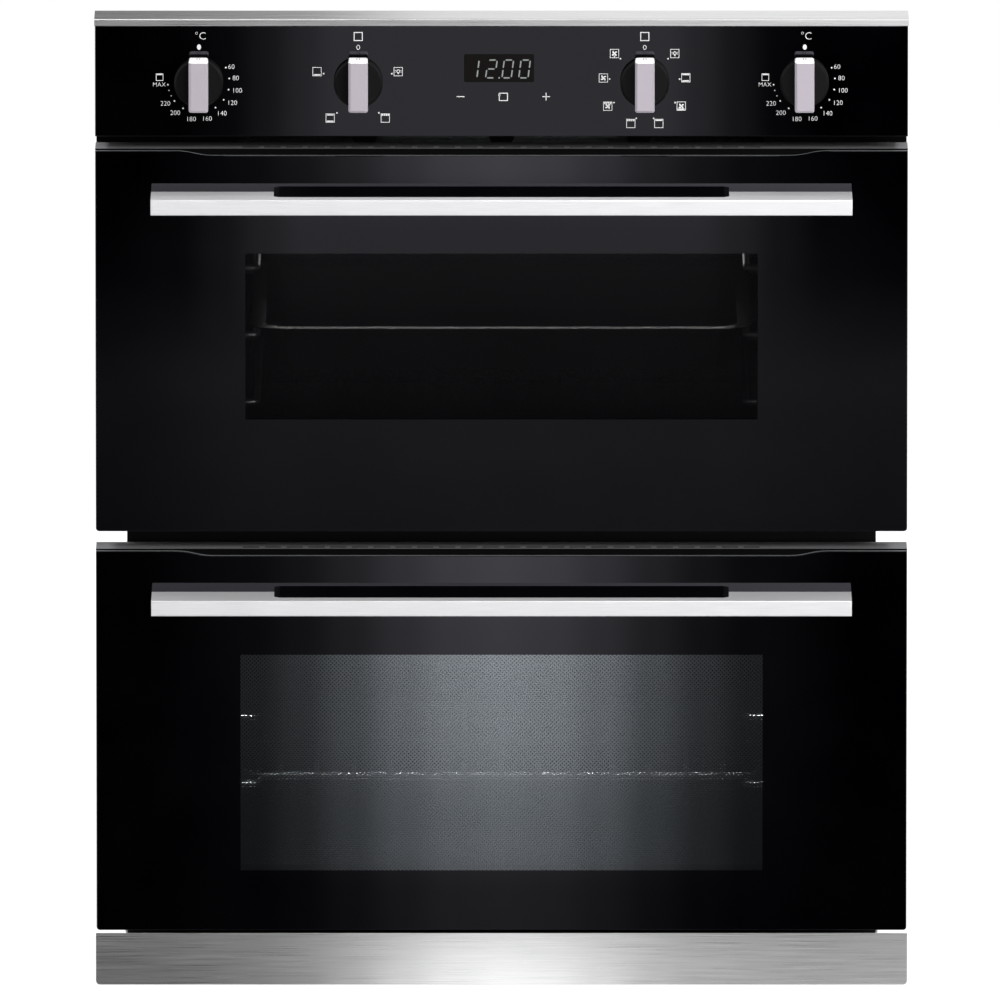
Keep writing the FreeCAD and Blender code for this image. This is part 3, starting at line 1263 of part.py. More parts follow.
def top_rail(oven, door):
    """The black cap along the top of the door, hollow underneath, with a row of air slots."""
    body = new_body(f"{oven}_top_rail", y=GLASS_BACK, z=f"{door} + door_height - rail_height")
    depth = "(door_depth - glass_thickness)"
    tall = "(rail_height + rail_rise)"
    pad(body, f"{oven}_rail_block", "XY_Plane", "0", tall,
        rectangle(f"-{GLASS_WIDTH} / 2", "0", GLASS_WIDTH, depth))
    pocket(body, f"{oven}_rail_hollow", "XY_Plane", "0", f"{tall} - door_wall",
           rectangle(f"door_wall - {GLASS_WIDTH} / 2", "door_wall", f"{GLASS_WIDTH} - 2 * door_wall",
                     f"{depth} - 2 * door_wall"))
    start = "-rail_slot_pitch * (rail_slots - 1) / 2 - rail_slot_length / 2"
    slot = pocket(body, f"{oven}_rail_slot", "XY_Plane", f"{tall} - door_wall", "door_wall",
                  rectangle(start, "rail_slot_back", "rail_slot_length", "rail_slot_width"))
    row(body, slot, "H_Axis", "rail_slot_pitch", "rail_slots")


def handle(oven, door):
    """A flat bar with solid ends and a long finger slot between the bar and the glass."""
    body = new_body(f"{oven}_handle", y=FRONT, z=f"{door} + {HANDLE_Z}")
    pad(body, f"{oven}_handle_bar", "XY_Plane", "0", "handle_height",
        rectangle(f"-{HANDLE_HALF}", "-handle_reach", f"2 * {HANDLE_HALF}", "handle_reach"))
    corner = "handle_slot_corner - handle_slot_depth"
    pocket(body, f"{oven}_handle_slot", "XY_Plane", "0", "handle_height",
           polygon((f"-{HANDLE_SLOT_HALF}", "0"), (f"-{HANDLE_SLOT_HALF}", corner),
                   (f"handle_slot_corner - {HANDLE_SLOT_HALF}", "-handle_slot_depth"),
                   (f"{HANDLE_SLOT_HALF} - handle_slot_corner", "-handle_slot_depth"),
                   (HANDLE_SLOT_HALF, corner), (HANDLE_SLOT_HALF, "0")))
    reach = -number("handle_reach")
    dress(body, "Fillet", f"{oven}_handle_edges", "handle_edge",
          lambda edge: edge.BoundBox.YMax < reach + 1e-6)
    pocket(body, f"{oven}_handle_holes", "XZ_Plane", "-handle_screw_depth", "handle_screw_depth",
           *[circle(f"{side} * {HANDLE_SCREW_X}", "handle_height / 2", "handle_screw_radius")
             for side in (-1, 1)])


def handle_screws(oven, door):
    """The two screws that hold a handle from behind the glass."""
    screws = []
    for side, name in ((-1, "left"), (1, "right")):
        screw = new_body(f"{oven}_handle_screw_{name}", x=f"{side} * {HANDLE_SCREW_X}", y=GLASS_BACK,
                         z=f"{door} + {HANDLE_MIDDLE}", node=False)
        tip = "(-glass_thickness - handle_screw_depth)"
        turn(screw, f"{oven}_screw_{name}_turned",
             ("0", tip), ("handle_screw_radius", tip), ("handle_screw_radius", "0"),
             ("handle_screw_head", "0"), ("handle_screw_head", "handle_screw_head_depth"),
             ("0", "handle_screw_head_depth"))
        screws.append(screw)
    group(f"{oven}_handle_screws", screws)


# Hinges


def hinge_brackets():
    """The fixed half of each hinge: an eye plate through the frame and a closed spring casing behind it."""
    brackets = []
    pins = []
    for oven, (door, _, _) in OVENS.items():
        for side, name in ((-1, "left"), (1, "right")):
            body = new_body(f"{oven}_bracket_{name}", x=f"{side} * {HINGE_X}", y=f"{FRONT} + pivot_back",
                            z=f"{door} + pivot_rise", node=False)
            label = f"{oven}_{name}"
            pad(body, f"{label}_plate", "YZ_Plane", "-bracket_plate / 2", "bracket_plate",
                rectangle("0", "-bracket_eye", PIVOT_TO_FRAME_BACK, "2 * bracket_eye"))
            pad(body, f"{label}_eye", "YZ_Plane", "-bracket_plate / 2", "bracket_plate",
                circle("0", "0", "bracket_eye"))
            pad(body, f"{label}_casing", "YZ_Plane", "-casing_width / 2", "casing_width",
                rectangle(PIVOT_TO_FRAME_BACK, "-casing_low", "casing_length", "casing_low + casing_high",
                          "bead_depth"))
            pocket(body, f"{label}_pin_hole", "YZ_Plane", "-bracket_plate / 2", "bracket_plate",
                   circle("0", "0", "pin_radius + pin_press_gap"))
            brackets.append(body)
            pin = doc.addObject("Part::Cylinder", f"{label}_pin")
            bind(pin, "Radius", "pin_radius")
            bind(pin, "Height", "bracket_plate + 2 * (cheek_gap + cheek + pin_overhang)")
            pin.Placement.Rotation = FreeCAD.Rotation(FreeCAD.Vector(0, 1, 0), 90)
            place(pin, f"{side} * {HINGE_X} - bracket_plate / 2 - cheek_gap - cheek - pin_overhang",
                  f"{FRONT} + pivot_back", f"{door} + pivot_rise")
            pins.append(pin)
    group("hinge_brackets", brackets)
    group("hinge_pins", pins)


def hinge_arms(oven, door):
    """The moving half: a channel in the door's side with two eyes on the pin."""
    arms = []
    back = "(door_depth - door_skin - pivot_back)"
    for side, name in ((-1, "left"), (1, "right")):
        body = new_body(f"{oven}_arm_{name}", x=f"{side} * {HINGE_X}", y=f"{FRONT} + pivot_back",
                        z=f"{door} + pivot_rise", node=False)
        label = f"{oven}_arm_{name}"
        outer = "(bracket_plate / 2 + cheek_gap + cheek)"
        pad(body, f"{label}_web", "YZ_Plane", f"-{outer}", f"2 * {outer}",
            rectangle(f"{back} - arm_web", "arm_web_low", "arm_web", "arm_height - arm_web_low"))
        for start, cheek_name in ((f"-{outer}", "near"), (f"{outer} - cheek", "far")):
            pad(body, f"{label}_{cheek_name}_cheek", "YZ_Plane", start, "cheek",
                rectangle("-arm_front", "0", f"{back} + arm_front", "arm_height"))
            pad(body, f"{label}_{cheek_name}_eye", "YZ_Plane", start, "cheek", circle("0", "0", "arm_eye"))
        pocket(body, f"{label}_pin_hole", "YZ_Plane", f"-{outer}", f"2 * {outer}",
               circle("0", "0", "pin_radius + running_gap"))
        arms.append(body)
    group(f"{oven}_hinge_arms", arms)


# Mains connection


def terminal_block():
    """The terminal box on the back, ribbed, with a cable entry from below."""
    body = new_body("terminal_block", x=f"{CHASSIS_WIDTH} / 2 - terminal_side", y=REAR,
                    z=f"{CHASSIS_TOP} - terminal_drop")
    pad(body, "terminal_box", "XZ_Plane", "0", "terminal_depth",
        rectangle("-terminal_width / 2", "0", "terminal_width", "terminal_height", "terminal_rib"))
    back = number("terminal_depth")
    dress(body, "Chamfer", "terminal_bevel", "terminal_rib / 2",
          lambda edge: edge.BoundBox.YMin > back - 1e-6)
    pocket(body, "cable_entry", "XY_Plane", "0", "cable_entry_depth",
           circle("0", "terminal_depth / 2", "cable_entry_radius"))
    start = "-terminal_rib_step * (terminal_ribs - 1) / 2 - terminal_rib / 2"
    groove = pocket(body, "terminal_groove", "XZ_Plane", "terminal_depth - terminal_rib / 2",
                    "terminal_rib / 2", rectangle(start, "terminal_height / 2", "terminal_rib",
                                                  "terminal_height / 3"))
    row(body, groove, "H_Axis", "terminal_rib_step", "terminal_ribs")


def build():
    """Make every sub-part."""
    base_pan()
    side_panel("side_panel_left", -1)
    side_panel("side_panel_right", 1)
    rear_panel()
    top_cover()
    front_frame()
    plinth_trim()
    top_trim()
    control_glass()
    control_carrier()
    display_module()
    controls()
    for label, side_x in KNOBS.items():
        knob(label, side_x)
    air_outlet_grille()
    blower()
    for oven, (door, tall, first) in OVENS.items():
        cavity(oven, door, tall)
        seal(oven, door, tall)
        grill_element(oven, door, tall)
        side_racks(oven, door, tall, first)
        outer_glass(oven, door)
        inner_glass(oven, door, tall)
        door_frame(oven, door, tall)
        top_rail(oven, door)
        handle(oven, door)
        handle_screws(oven, door)
        hinge_arms(oven, door)
    base_elements()
    ring_element()
    fan_cover()
    circulation_fan()
    oven_lamps()
    lower_shelf()
    grill_pan()
    hinge_brackets()
    terminal_block()


def check_and_write():
    """Stop on anything that failed, then write each sub-part's solids."""
    doc.recompute()
    for item in doc.Objects:
        if "Invalid" in item.State or "Error" in item.State:
            raise RuntimeError(f"{item.Label} did not build: {item.State}")
    for item in nodes:
        if item.Shape.isNull() or not item.Shape.isValid() or not item.Shape.Solids:
            raise RuntimeError(f"{item.Label} has no valid solid")
    os.makedirs("parts", exist_ok=True)
    for item in nodes:
        item.Shape.exportStep(f"parts/{item.Label}.step")
        print(item.Label, len(item.Shape.Solids), "solids", round(item.Shape.Volume / 1000, 1), "cm3")


build()
check_and_write()
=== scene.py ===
# %% [markdown]
# # A built-under double oven: finishes, prints and studio
#
# The oven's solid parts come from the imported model, already in metres and in place. This notebook gives
# each of them the finish of the real material, adds what is printed on the control glass and the small
# fasteners, and sets up a white studio. The doors face -Y, and Z points up.

# %% Load the model
import json
from math import atan2, cos, pi, radians, sin, tan

import bpy
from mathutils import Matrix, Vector


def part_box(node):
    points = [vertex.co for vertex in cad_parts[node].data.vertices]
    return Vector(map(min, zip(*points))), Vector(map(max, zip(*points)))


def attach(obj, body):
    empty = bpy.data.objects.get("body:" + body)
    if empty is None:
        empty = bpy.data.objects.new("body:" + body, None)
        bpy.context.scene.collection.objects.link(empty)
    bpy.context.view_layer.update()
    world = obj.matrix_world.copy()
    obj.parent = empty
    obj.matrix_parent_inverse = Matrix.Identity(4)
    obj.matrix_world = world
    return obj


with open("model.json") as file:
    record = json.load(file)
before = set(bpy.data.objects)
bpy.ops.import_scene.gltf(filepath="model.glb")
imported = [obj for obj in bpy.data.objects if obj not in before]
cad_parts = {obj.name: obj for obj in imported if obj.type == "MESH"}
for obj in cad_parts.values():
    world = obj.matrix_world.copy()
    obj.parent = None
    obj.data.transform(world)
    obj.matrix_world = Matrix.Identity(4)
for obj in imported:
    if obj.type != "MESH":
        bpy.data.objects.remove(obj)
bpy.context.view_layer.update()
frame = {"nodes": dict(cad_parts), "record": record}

# %% [markdown]
# ## Tools for the finishes
#
# A finish is a material made of shader nodes. They could be placed by hand in the editor, but in code every
# value can be read and changed in one place. Shaders work in linear light, while colours are written as
# sRGB codes, so one function turns a code into linear numbers; a plain number stands for a linear grey. One
# small function adds any node: a dictionary fills its sockets, with values or with other nodes' outputs,
# the named settings are the menu choices on the node, and the stops are those of a colour ramp.

# %% Colour codes and shader nodes
MM = 0.001


def linear(tone):
    """The linear red, green, blue and alpha of an sRGB hex code, or of a linear grey."""
    if not isinstance(tone, str):
        return [tone, tone, tone, 1.0]
    channels = [int(tone[i:i + 2], 16) / 255 for i in (0, 2, 4)]
    return [c / 12.92 if c <= 0.04045 else ((c + 0.055) / 1.055) ** 2.4 for c in channels] + [1.0]


def fill(tree, node, sockets):
    """Fills a node's sockets, each with a value or with a link from another node's output."""
    for name, value in sockets.items():
        if isinstance(value, bpy.types.NodeSocket):
            tree.links.new(value, node.inputs[name])
        else:
            node.inputs[name].default_value = value


def add(tree, kind, sockets, output=0, stops=(), between="LINEAR", **settings):
    """Adds a shader node with its settings, its ramp's stops and its links, and gives one of its outputs."""
    node = tree.nodes.new("ShaderNode" + kind)
    for name, value in settings.items():
        setattr(node, name, value)
    if stops:
        node.color_ramp.interpolation = between
        while len(node.color_ramp.elements) < len(stops):
            node.color_ramp.elements.new(0.5)
        for element, (where, tone) in zip(node.color_ramp.elements, stops):
            element.position = where
            element.color = linear(tone)
    fill(tree, node, sockets)
    return node.outputs[output] if node.outputs else None


print("mid grey 808080 is", round(linear("808080")[0], 3), "in linear light")

# %% [markdown]
# ## Materials with a grain
#
# No real surface is quite even, so each finish here has a pattern that carries it. Pictures of surfaces
# could do that, but noise made by nodes has no seams and no end, and its size is given in real millimetres.
# The same pattern then moves the colour, the roughness and the relief together, as wear and brushing do.

# %% Materials, their grain and their skin
FINISH = {}


def new_material(name, **sockets):
    """A material in FINISH with its principled shader set; underscores in the names stand for spaces."""
    FINISH[name] = bpy.data.materials.new(name)
    FINISH[name].use_nodes = True
    tree = FINISH[name].node_tree
    shader = tree.nodes["Principled BSDF"]
    fill(tree, shader, {socket.replace("_", " "): value for socket, value in sockets.items()})
    return tree, shader


def grain(tree, size, detail=2.0, stretch=(1, 1, 1)):
    """Noise whose lumps are about `size` metres across, drawn out along the axes by `stretch`."""
    place = add(tree, "TexCoord", {}, "Object")
    spread = add(tree, "Mapping", {"Vector": place, "Scale": [1 / (size * s) for s in stretch]})
    return add(tree, "TexNoise", {"Vector": spread, "Scale": 1.0, "Detail": detail}, "Fac")


def skin(tree, shader, pattern, stops, gloss=None, depth=0.0, relief=None):
    """Lets a pattern carry a finish, and gives its colour.

    The stops are its colours, `gloss` is its smoothest and roughest value, reached at 0.3 and 0.7, between
    which noise mostly lies, and `depth` is its relief in metres, by this pattern or by another one.
    """
    colour = add(tree, "ValToRGB", {"Fac": pattern}, stops=stops)
    fill(tree, shader, {"Base Color": colour})
    if gloss:
        limits = {"From Min": 0.3, "From Max": 0.7, "To Min": gloss[0], "To Max": gloss[1]}
        fill(tree, shader, {"Roughness": add(tree, "MapRange", {"Value": pattern, **limits})})
    if depth:
        height = pattern if relief is None else relief
        bump = add(tree, "Bump", {"Height": height, "Strength": 1.0, "Distance": depth})
        fill(tree, shader, {"Normal": bump})
    return colour


print("a grain of 0.5 mm repeats", round(1 / (0.5 * MM)), "times in a metre")

# %% [markdown]
# ## Zinc on steel
#
# The chassis is zinc-coated sheet. Its zinc sets in flat crystals nearly a centimetre wide, each turned
# another way. Noise would blur them into clouds, so a Voronoi pattern is used, which gives every crystal
# its own grey. The hinges, motors and screws are plated with a thin bright zinc, and the fan wheels are
# galvanised. These show only a faint cloudiness, for which noise is right.

# %% Zinc-coated sheet, zinc plating and galvanised wheels
CRYSTALS = 110.0  # to a metre, about 9 mm each

# Zinc-coated sheet, dull from the mill: flat greys that barely differ and a broad, soft shine.
tree, shader = new_material("zinc_coated_sheet", Metallic=1.0)
place = add(tree, "TexCoord", {}, "Object")
crystals = add(tree, "TexVoronoi", {"Vector": place, "Scale": CRYSTALS, "Randomness": 1.0}, "Color")
tone = add(tree, "SeparateColor", {"Color": crystals}, "Red")
skin(tree, shader, tone, ((0.0, "8E9296"), (1.0, "9DA1A4")), (0.5, 0.54), 0.02 * MM, grain(tree, 3 * MM))

# Zinc-plated steel: bright and bluish, with a clear but slightly cloudy shine.
tree, shader = new_material("zinc_plated_steel", Metallic=1.0)
skin(tree, shader, grain(tree, 6 * MM, 4.0), ((0.3, "AEB0B0"), (0.7, "C9CACC")), (0.25, 0.38))

# Galvanised sheet of the wheels: a little greyer and duller than the plating.
tree, shader = new_material("galvanised_wheel", Metallic=1.0)
skin(tree, shader, grain(tree, 4 * MM, 3.0), ((0.3, "9FA3A6"), (0.7, "C2C5C8")), (0.3, 0.45))
print("zinc finishes:", ", ".join(FINISH))

# %% [markdown]
# ## Brushed steel, satin aluminium and silver paint
#
# The plinth and the top trim are stainless steel brushed along their length. An anisotropic shader could
# pull the highlights out, but would show no lines, so noise is used that is long along X and short across
# it. Real brush lines are about a tenth of a millimetre, too fine for this picture, and are drawn about
# four times as coarse. The handles are aluminium with a satin anodised skin, which scatters part of the
# light. The knob grips are sprayed with a silver paint that looks faintly lilac. Their end that points at
# the scale gets a nearly white painted highlight for the light falling on it from above. That end is
# found by its height, because the grips need no second material for it then.

# %% Stainless steel and satin aluminium
# Brushed stainless steel: fine lines along the strip and highlights that spread across them.
tree, shader = new_material("stainless_steel", Metallic=1.0)
lines = grain(tree, 0.4 * MM, 2.0, (160, 4, 1))
skin(tree, shader, lines, ((0.3, "D6D6D7"), (0.7, "E9E9EA")), (0.26, 0.36), 0.006 * MM)

# Satin anodised aluminium: pale and even, with a soft sheen and no sharp reflection.
tree, shader = new_material("satin_aluminium", Metallic=0.5)
lines = grain(tree, 0.5 * MM, 2.0, (60, 1, 1))
skin(tree, shader, lines, ((0.3, "DCDBDD"), (0.7, "E6E5E7")), (0.4, 0.48), 0.002 * MM)
print("brushed and satin metal: stainless_steel, satin_aluminium")

# %% Silver paint and a painted highlight
GRIP_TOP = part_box("upper_function_knob_grip")[1][2]
# How far below the top of the grips the painted highlight reaches.
PAINTED_HIGHLIGHT_BAND = 1.9 * MM

# Sprayed silver paint: fine lilac-grey flakes, and a nearly white painted highlight on the pointing end.
tree, shader = new_material("lilac_silver_paint", Metallic=0.3)
flakes = grain(tree, 0.4 * MM)
lilac = skin(tree, shader, flakes, ((0.3, "A69FA8"), (0.7, "B1AAB3")), (0.38, 0.48))
# Painted highlight: the near-white of the pointing end stands in for the light from above.
bright = add(tree, "ValToRGB", {"Fac": flakes}, stops=((0.3, "E6E4E6"), (0.7, "F0EEF0")))
height = add(tree, "SeparateXYZ", {"Vector": add(tree, "TexCoord", {}, "Object")}, "Z")
painted_highlight_mask = add(tree, "Math", {0: height, 1: GRIP_TOP - PAINTED_HIGHLIGHT_BAND}, operation="GREATER_THAN")
paint = add(tree, "Mix", {"Factor": painted_highlight_mask, 6: lilac, 7: bright}, 2, data_type="RGBA")
fill(tree, shader, {"Base Color": paint})
print("the grips turn bright above", round(GRIP_TOP - PAINTED_HIGHLIGHT_BAND, 4), "m")

# %% [markdown]
# ## Enamel and paint
#
# Vitreous enamel is glass melted on to steel: a deep gloss with a slight wave, like orange peel. The cavity
# enamel is grey with fine pale specks, which only the highest lumps of a noise become. A coat layer gives
# the gloss over it. The pressed door frames are sprayed satin black, and fine bumps break up their
# highlights.

# %% Enamels and satin black paint
# Black enamel of the front frame and the pan: nearly black, with few specks and a wavy gloss.
tree, shader = new_material("black_enamel", Roughness=0.25, Specular_IOR_Level=0.12)
specks = grain(tree, 0.8 * MM)
wave = grain(tree, 5 * MM, 1.0)
skin(tree, shader, specks, ((0.62, "0B0B0C"), (0.72, "2A2B2D")), None, 0.03 * MM, wave)

# Grey enamel of the cavities: dark grey with pale specks under a thin clear gloss.
tree, shader = new_material("grey_enamel", Coat_Weight=0.15, Coat_Roughness=0.1)
specks = grain(tree, 0.9 * MM, 1.0)
wave = grain(tree, 6 * MM, 1.0)
speckled = ((0.3, "1A1C1F"), (0.62, "222428"), (0.72, "71767D"))
skin(tree, shader, specks, speckled, (0.2, 0.32), 0.04 * MM, wave)

# Satin black paint on steel: an even black with a broad, broken shine.
tree, shader = new_material("black_painted_steel")
peel = grain(tree, 0.7 * MM)
skin(tree, shader, peel, ((0.3, "101011"), (0.7, "1A1A1B")), (0.38, 0.5), 0.02 * MM)
print("enamel and paint:", len(FINISH), "finishes so far")

# %% [markdown]
# ## Plastic and rubber
#
# The panel's carrier, the air grille and the terminal box are moulded from black plastic with a fine eroded
# texture, and the switches from pale nylon. The knob skirts have a coarser, shinier texture, so they get a
# plastic of their own. The rails on the doors are the same black, but their top faces get a painted grey
# that stands in for the light falling into the gaps above them. These faces are found by their normals,
# because they belong to the same moulding and need no second material then. The door gaskets are rubber
# with a woven face.

# %% Black plastics
PORES = ((0.3, "020202"), (0.7, "060606"))

# Moulded black plastic: deep and matt, with hardly any shine.
tree, shader = new_material("black_plastic", Specular_IOR_Level=0.03)
skin(tree, shader, grain(tree, 0.5 * MM), PORES, (0.55, 0.7), 0.01 * MM)

# Black plastic of the knob skirts: coarse pores with small glints.
tree, shader = new_material("knob_plastic", Specular_IOR_Level=0.15)
skin(tree, shader, grain(tree, 0.8 * MM), ((0.3, "030303"), (0.7, "0A0A0A")), (0.36, 0.5), 0.04 * MM)

# Black plastic of the vent rails: matt black, with painted light in grey on the top faces.
tree, shader = new_material("vent_rail_plastic", Specular_IOR_Level=0.03)
pores = grain(tree, 0.5 * MM)
black = skin(tree, shader, pores, PORES, (0.55, 0.7))
# Painted light: the grey of the top faces stands in for the light falling on them from the gap above.
grey = add(tree, "ValToRGB", {"Fac": pores}, stops=((0.3, "6A6A6C"), (0.7, "7C7C7E")))
upward = add(tree, "SeparateXYZ", {"Vector": add(tree, "TexCoord", {}, "Normal")}, "Z")
painted_light_on_top = add(tree, "MapRange", {"Value": upward, "From Min": 0.7, "From Max": 0.9})
fill(tree, shader, {"Base Color": add(tree, "Mix", {"Factor": painted_light_on_top, 6: black, 7: grey}, 2, data_type="RGBA")})
print("black plastics: black_plastic, knob_plastic, vent_rail_plastic")

# %% Pale nylon and seal rubber
# Pale nylon, moulded: warm white, cloudy and matt.
tree, shader = new_material("pale_plastic")
skin(tree, shader, grain(tree, 3 * MM, 3.0), ((0.3, "DAD6C9"), (0.7, "E6E3D8")), (0.45, 0.6))

# Rubber with a woven face: dull dark grey that swallows the light.
tree, shader = new_material("seal_rubber")
skin(tree, shader, grain(tree, 1.2 * MM, 3.0), ((0.3, "161616"), (0.7, "262625")), (0.7, 0.9), 0.15 * MM)
print("nylon and rubber:", len(FINISH), "finishes so far")

# %% [markdown]
# ## Wire and heater tubes
#
# The racks and the shelf are chromed wire, dulled a little by the oven's heat. A perfect mirror would be
# simpler, but thin wires then break up into sparks. The heaters are steel tubes that have been red hot, so
# they are dark, with brown and blue-grey patches of oxide, which a ramp with three stops spreads over
# noise.

# %% Chromed wire and heater sheath
# Chromed wire: bright, with a shine that heat marks make uneven.
tree, shader = new_material("chromed_wire", Metallic=1.0)
skin(tree, shader, grain(tree, 1.5 * MM, 3.0), ((0.3, "C9CCCF"), (0.7, "E3E5E7")), (0.28, 0.38))

# Oxidised steel tube: dark and dull, with brown and blue-grey patches.
tree, shader = new_material("element_sheath", Metallic=0.7)
oxide = grain(tree, 9 * MM, 5.0)
patches = ((0.3, "2B2624"), (0.5, "4A423C"), (0.7, "4B4D52"))
skin(tree, shader, oxide, patches, (0.45, 0.65), 0.02 * MM, grain(tree, 1 * MM))
print("wire and heaters:", len(FINISH), "finishes so far")

# %% [markdown]
# ## Printed glass
#
# The front panes are printed black on the back, all but a window in each door. The window could be a pane
# of its own, but the real one is only left out of the print, so here it is a rectangle in the pane's own
# coordinates in which the pane lets light through. Both windows still dim the oven behind. The lower one
# has a screen of fine dots in a thin metal film, which mirrors the light in front of the oven about five
# times as strongly as the black glass round it. The real dots are about 1.5 mm apart and are drawn twice as
# coarse. The rims of the panes are ground, so they are grey and matt: their normals don't point to the
# front or the back.

# %% Find the windows
# Half the width, and the heights of the lower and the upper edge.
WINDOWS = {"upper": (188 * MM, 421.4 * MM, 544.5 * MM), "lower": (192 * MM, 85.6 * MM, 246.3 * MM)}

# Black printed glass: a deep black mirror with a faint violet tint, dim windows and grey ground rims.
tree, shader = new_material("black_printed_glass", IOR=1.5, Specular_IOR_Level=0.55,
                            Specular_Tint=(0.9, 0.87, 1.0, 1.0))
place = add(tree, "TexCoord", {}, "Object")
flat = {axis: add(tree, "SeparateXYZ", {"Vector": place}, axis) for axis in ("X", "Z")}
inside = {}
for oven, (half, low, high) in WINDOWS.items():
    beside = add(tree, "Math", {0: flat["X"], 1: 0.0, 2: half}, operation="COMPARE")
    level = add(tree, "Math", {0: flat["Z"], 1: (low + high) / 2, 2: (high - low) / 2}, operation="COMPARE")
    inside[oven] = add(tree, "Math", {0: beside, 1: level}, operation="MULTIPLY")
print("windows, half width and edges in metres:", WINDOWS)

# %% Find the dots and the rims
DOT_STEP = 2.94 * MM
DOT_EDGE = 3.0  # how steeply a gap between the dots opens
RIM_NORMAL = 0.6  # the rims point less than this to the front or the back
waves = []
for axis in ("X", "Z"):
    turn = add(tree, "Math", {0: flat[axis], 1: 2 * pi / DOT_STEP}, operation="MULTIPLY")
    waves.append(add(tree, "Math", {0: turn}, operation="SINE"))
crossed = add(tree, "Math", {0: waves[0], 1: waves[1]}, operation="MULTIPLY")
gaps = add(tree, "Math", {0: crossed, 1: DOT_EDGE}, operation="MULTIPLY", use_clamp=True)
facing = add(tree, "SeparateXYZ", {"Vector": add(tree, "TexCoord", {}, "Normal")}, "Y")
rim = add(tree, "Math", {0: facing, 1: 0.0, 2: RIM_NORMAL}, operation="COMPARE")
print("dots to a metre:", round(1 / DOT_STEP))

# %% Colour, gloss and clearness of the printed glass
UPPER_CLEAR, LOWER_CLEAR = 0.86, 0.8  # the share of the light that passes a window, or a gap in its dots
smudge = add(tree, "ValToRGB", {"Fac": grain(tree, 60 * MM, 3.0)}, stops=((0.3, "000001"), (0.7, "020203")))
film = add(tree, "Mix", {"Factor": inside["lower"], 6: smudge, 7: linear("949AA0")}, 2, data_type="RGBA")
ground = add(tree, "Mix", {"Factor": rim, 6: film, 7: linear("74797A")}, 2, data_type="RGBA")
matt = add(tree, "Math", {0: rim, 1: 0.5, 2: 0.02}, operation="MULTIPLY_ADD")
face = add(tree, "Math", {0: 1.0, 1: rim}, operation="SUBTRACT")
metal = add(tree, "Math", {0: inside["lower"], 1: face}, operation="MULTIPLY")
screen = add(tree, "Math", {0: gaps, 1: LOWER_CLEAR}, operation="MULTIPLY")
lower_share = add(tree, "Math", {0: inside["lower"], 1: screen}, operation="MULTIPLY")
share = add(tree, "Math", {0: inside["upper"], 1: UPPER_CLEAR, 2: lower_share}, operation="MULTIPLY_ADD")
clear = add(tree, "Math", {0: share, 1: face}, operation="MULTIPLY")
solid = add(tree, "Math", {0: 1.0, 1: clear}, operation="SUBTRACT")
fill(tree, shader, {"Base Color": ground, "Roughness": matt, "Metallic": metal, "Alpha": solid})
print("printed glass:", len(tree.nodes), "nodes")

# %% [markdown]
# ## Smoked and frosted glass
#
# The inner panes are thinly smoked, and the lamp covers are frosted. Real refraction through four panes
# would cost many light bounces, so both are made see-through by their alpha, which lets the light go
# straight on.

# %% Inner panes and lamp covers
# Smoked glass: clear, but it takes away two fifths of the light.
tree, shader = new_material("clear_glass", Roughness=0.02, IOR=1.5, Specular_IOR_Level=0.05, Alpha=0.42)
skin(tree, shader, grain(tree, 50 * MM), ((0.3, "050606"), (0.7, "090B0B")))

# Frosted glass: milky, warm white and matt.
tree, shader = new_material("lamp_glass", Alpha=0.7)
skin(tree, shader, grain(tree, 0.8 * MM), ((0.3, "C9C3B4"), (0.7, "DEDACF")), (0.5, 0.65))
print("glass:", len(FINISH), "finishes so far")

# %% [markdown]
# ## Finishes on the parts
#
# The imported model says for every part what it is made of, so a loop can hand out the finishes, and no part
# is forgotten. The grips, the knob skirts and the door rails get the special finishes made for them.

# %% Give every part its finish
SPECIAL = {"_knob_grip": "lilac_silver_paint", "_knob_skirt": "knob_plastic",
           "_top_rail": "vent_rail_plastic"}
for part in frame["record"]["subparts"]:
    finish = part["material_slot"]
    for ending, special in SPECIAL.items():
        if part["node"].endswith(ending):
            finish = special
    mesh = frame["nodes"][part["node"]].data
    mesh.materials.clear()
    mesh.materials.append(FINISH[finish])

# %% [markdown]
# ## Softened edges
#
# Real bars never end in a knife edge: their corners are broken with a file. The edges could be rounded in
# the solid, but so small a radius belongs to the finish. A Weld modifier first closes the seams between the
# faces, then a Bevel modifier rounds each sharp edge a little, so the edges catch the light.

# %% Round the sharp edges
SOFT_EDGES = {"plinth_trim": 0.4, "upper_handle": 0.5, "lower_handle": 0.5}
for node, radius in SOFT_EDGES.items():
    part = frame["nodes"][node]
    part.modifiers.new("seams", "WELD").merge_threshold = 0.001 * MM
    edge = part.modifiers.new("edges", "BEVEL")
    edge.width = radius * MM
    edge.segments = 2
    edge.limit_method = "ANGLE"
    edge.angle_limit = radians(40)
print("rounded:", ", ".join(SOFT_EDGES))

# %% [markdown]
# ## Inks
#
# The dials and signs are screen-printed in white. Printed ink is matt and never quite even, so a fine grain
# varies its white. The clock's digits are dimmer, like a vacuum display seen in daylight, so they glow only
# a little. The clock's window is a slightly paler black than the glass, or it could not be told from it.

# %% Ink, display and engraving
# Screen-printed ink: an even, matt white.
tree, shader = new_material("white_ink")
skin(tree, shader, grain(tree, 0.6 * MM), ((0.3, "CFCFCF"), (0.7, "DEDEDE")), (0.55, 0.7))

# Segments of a vacuum display: grey with a faint glow.
tree, shader = new_material("display_digits", Roughness=0.4, Emission_Strength=0.12)
glow = skin(tree, shader, grain(tree, 0.6 * MM), ((0.3, "727575"), (0.7, "8A8D8D")))
fill(tree, shader, {"Emission Color": glow})

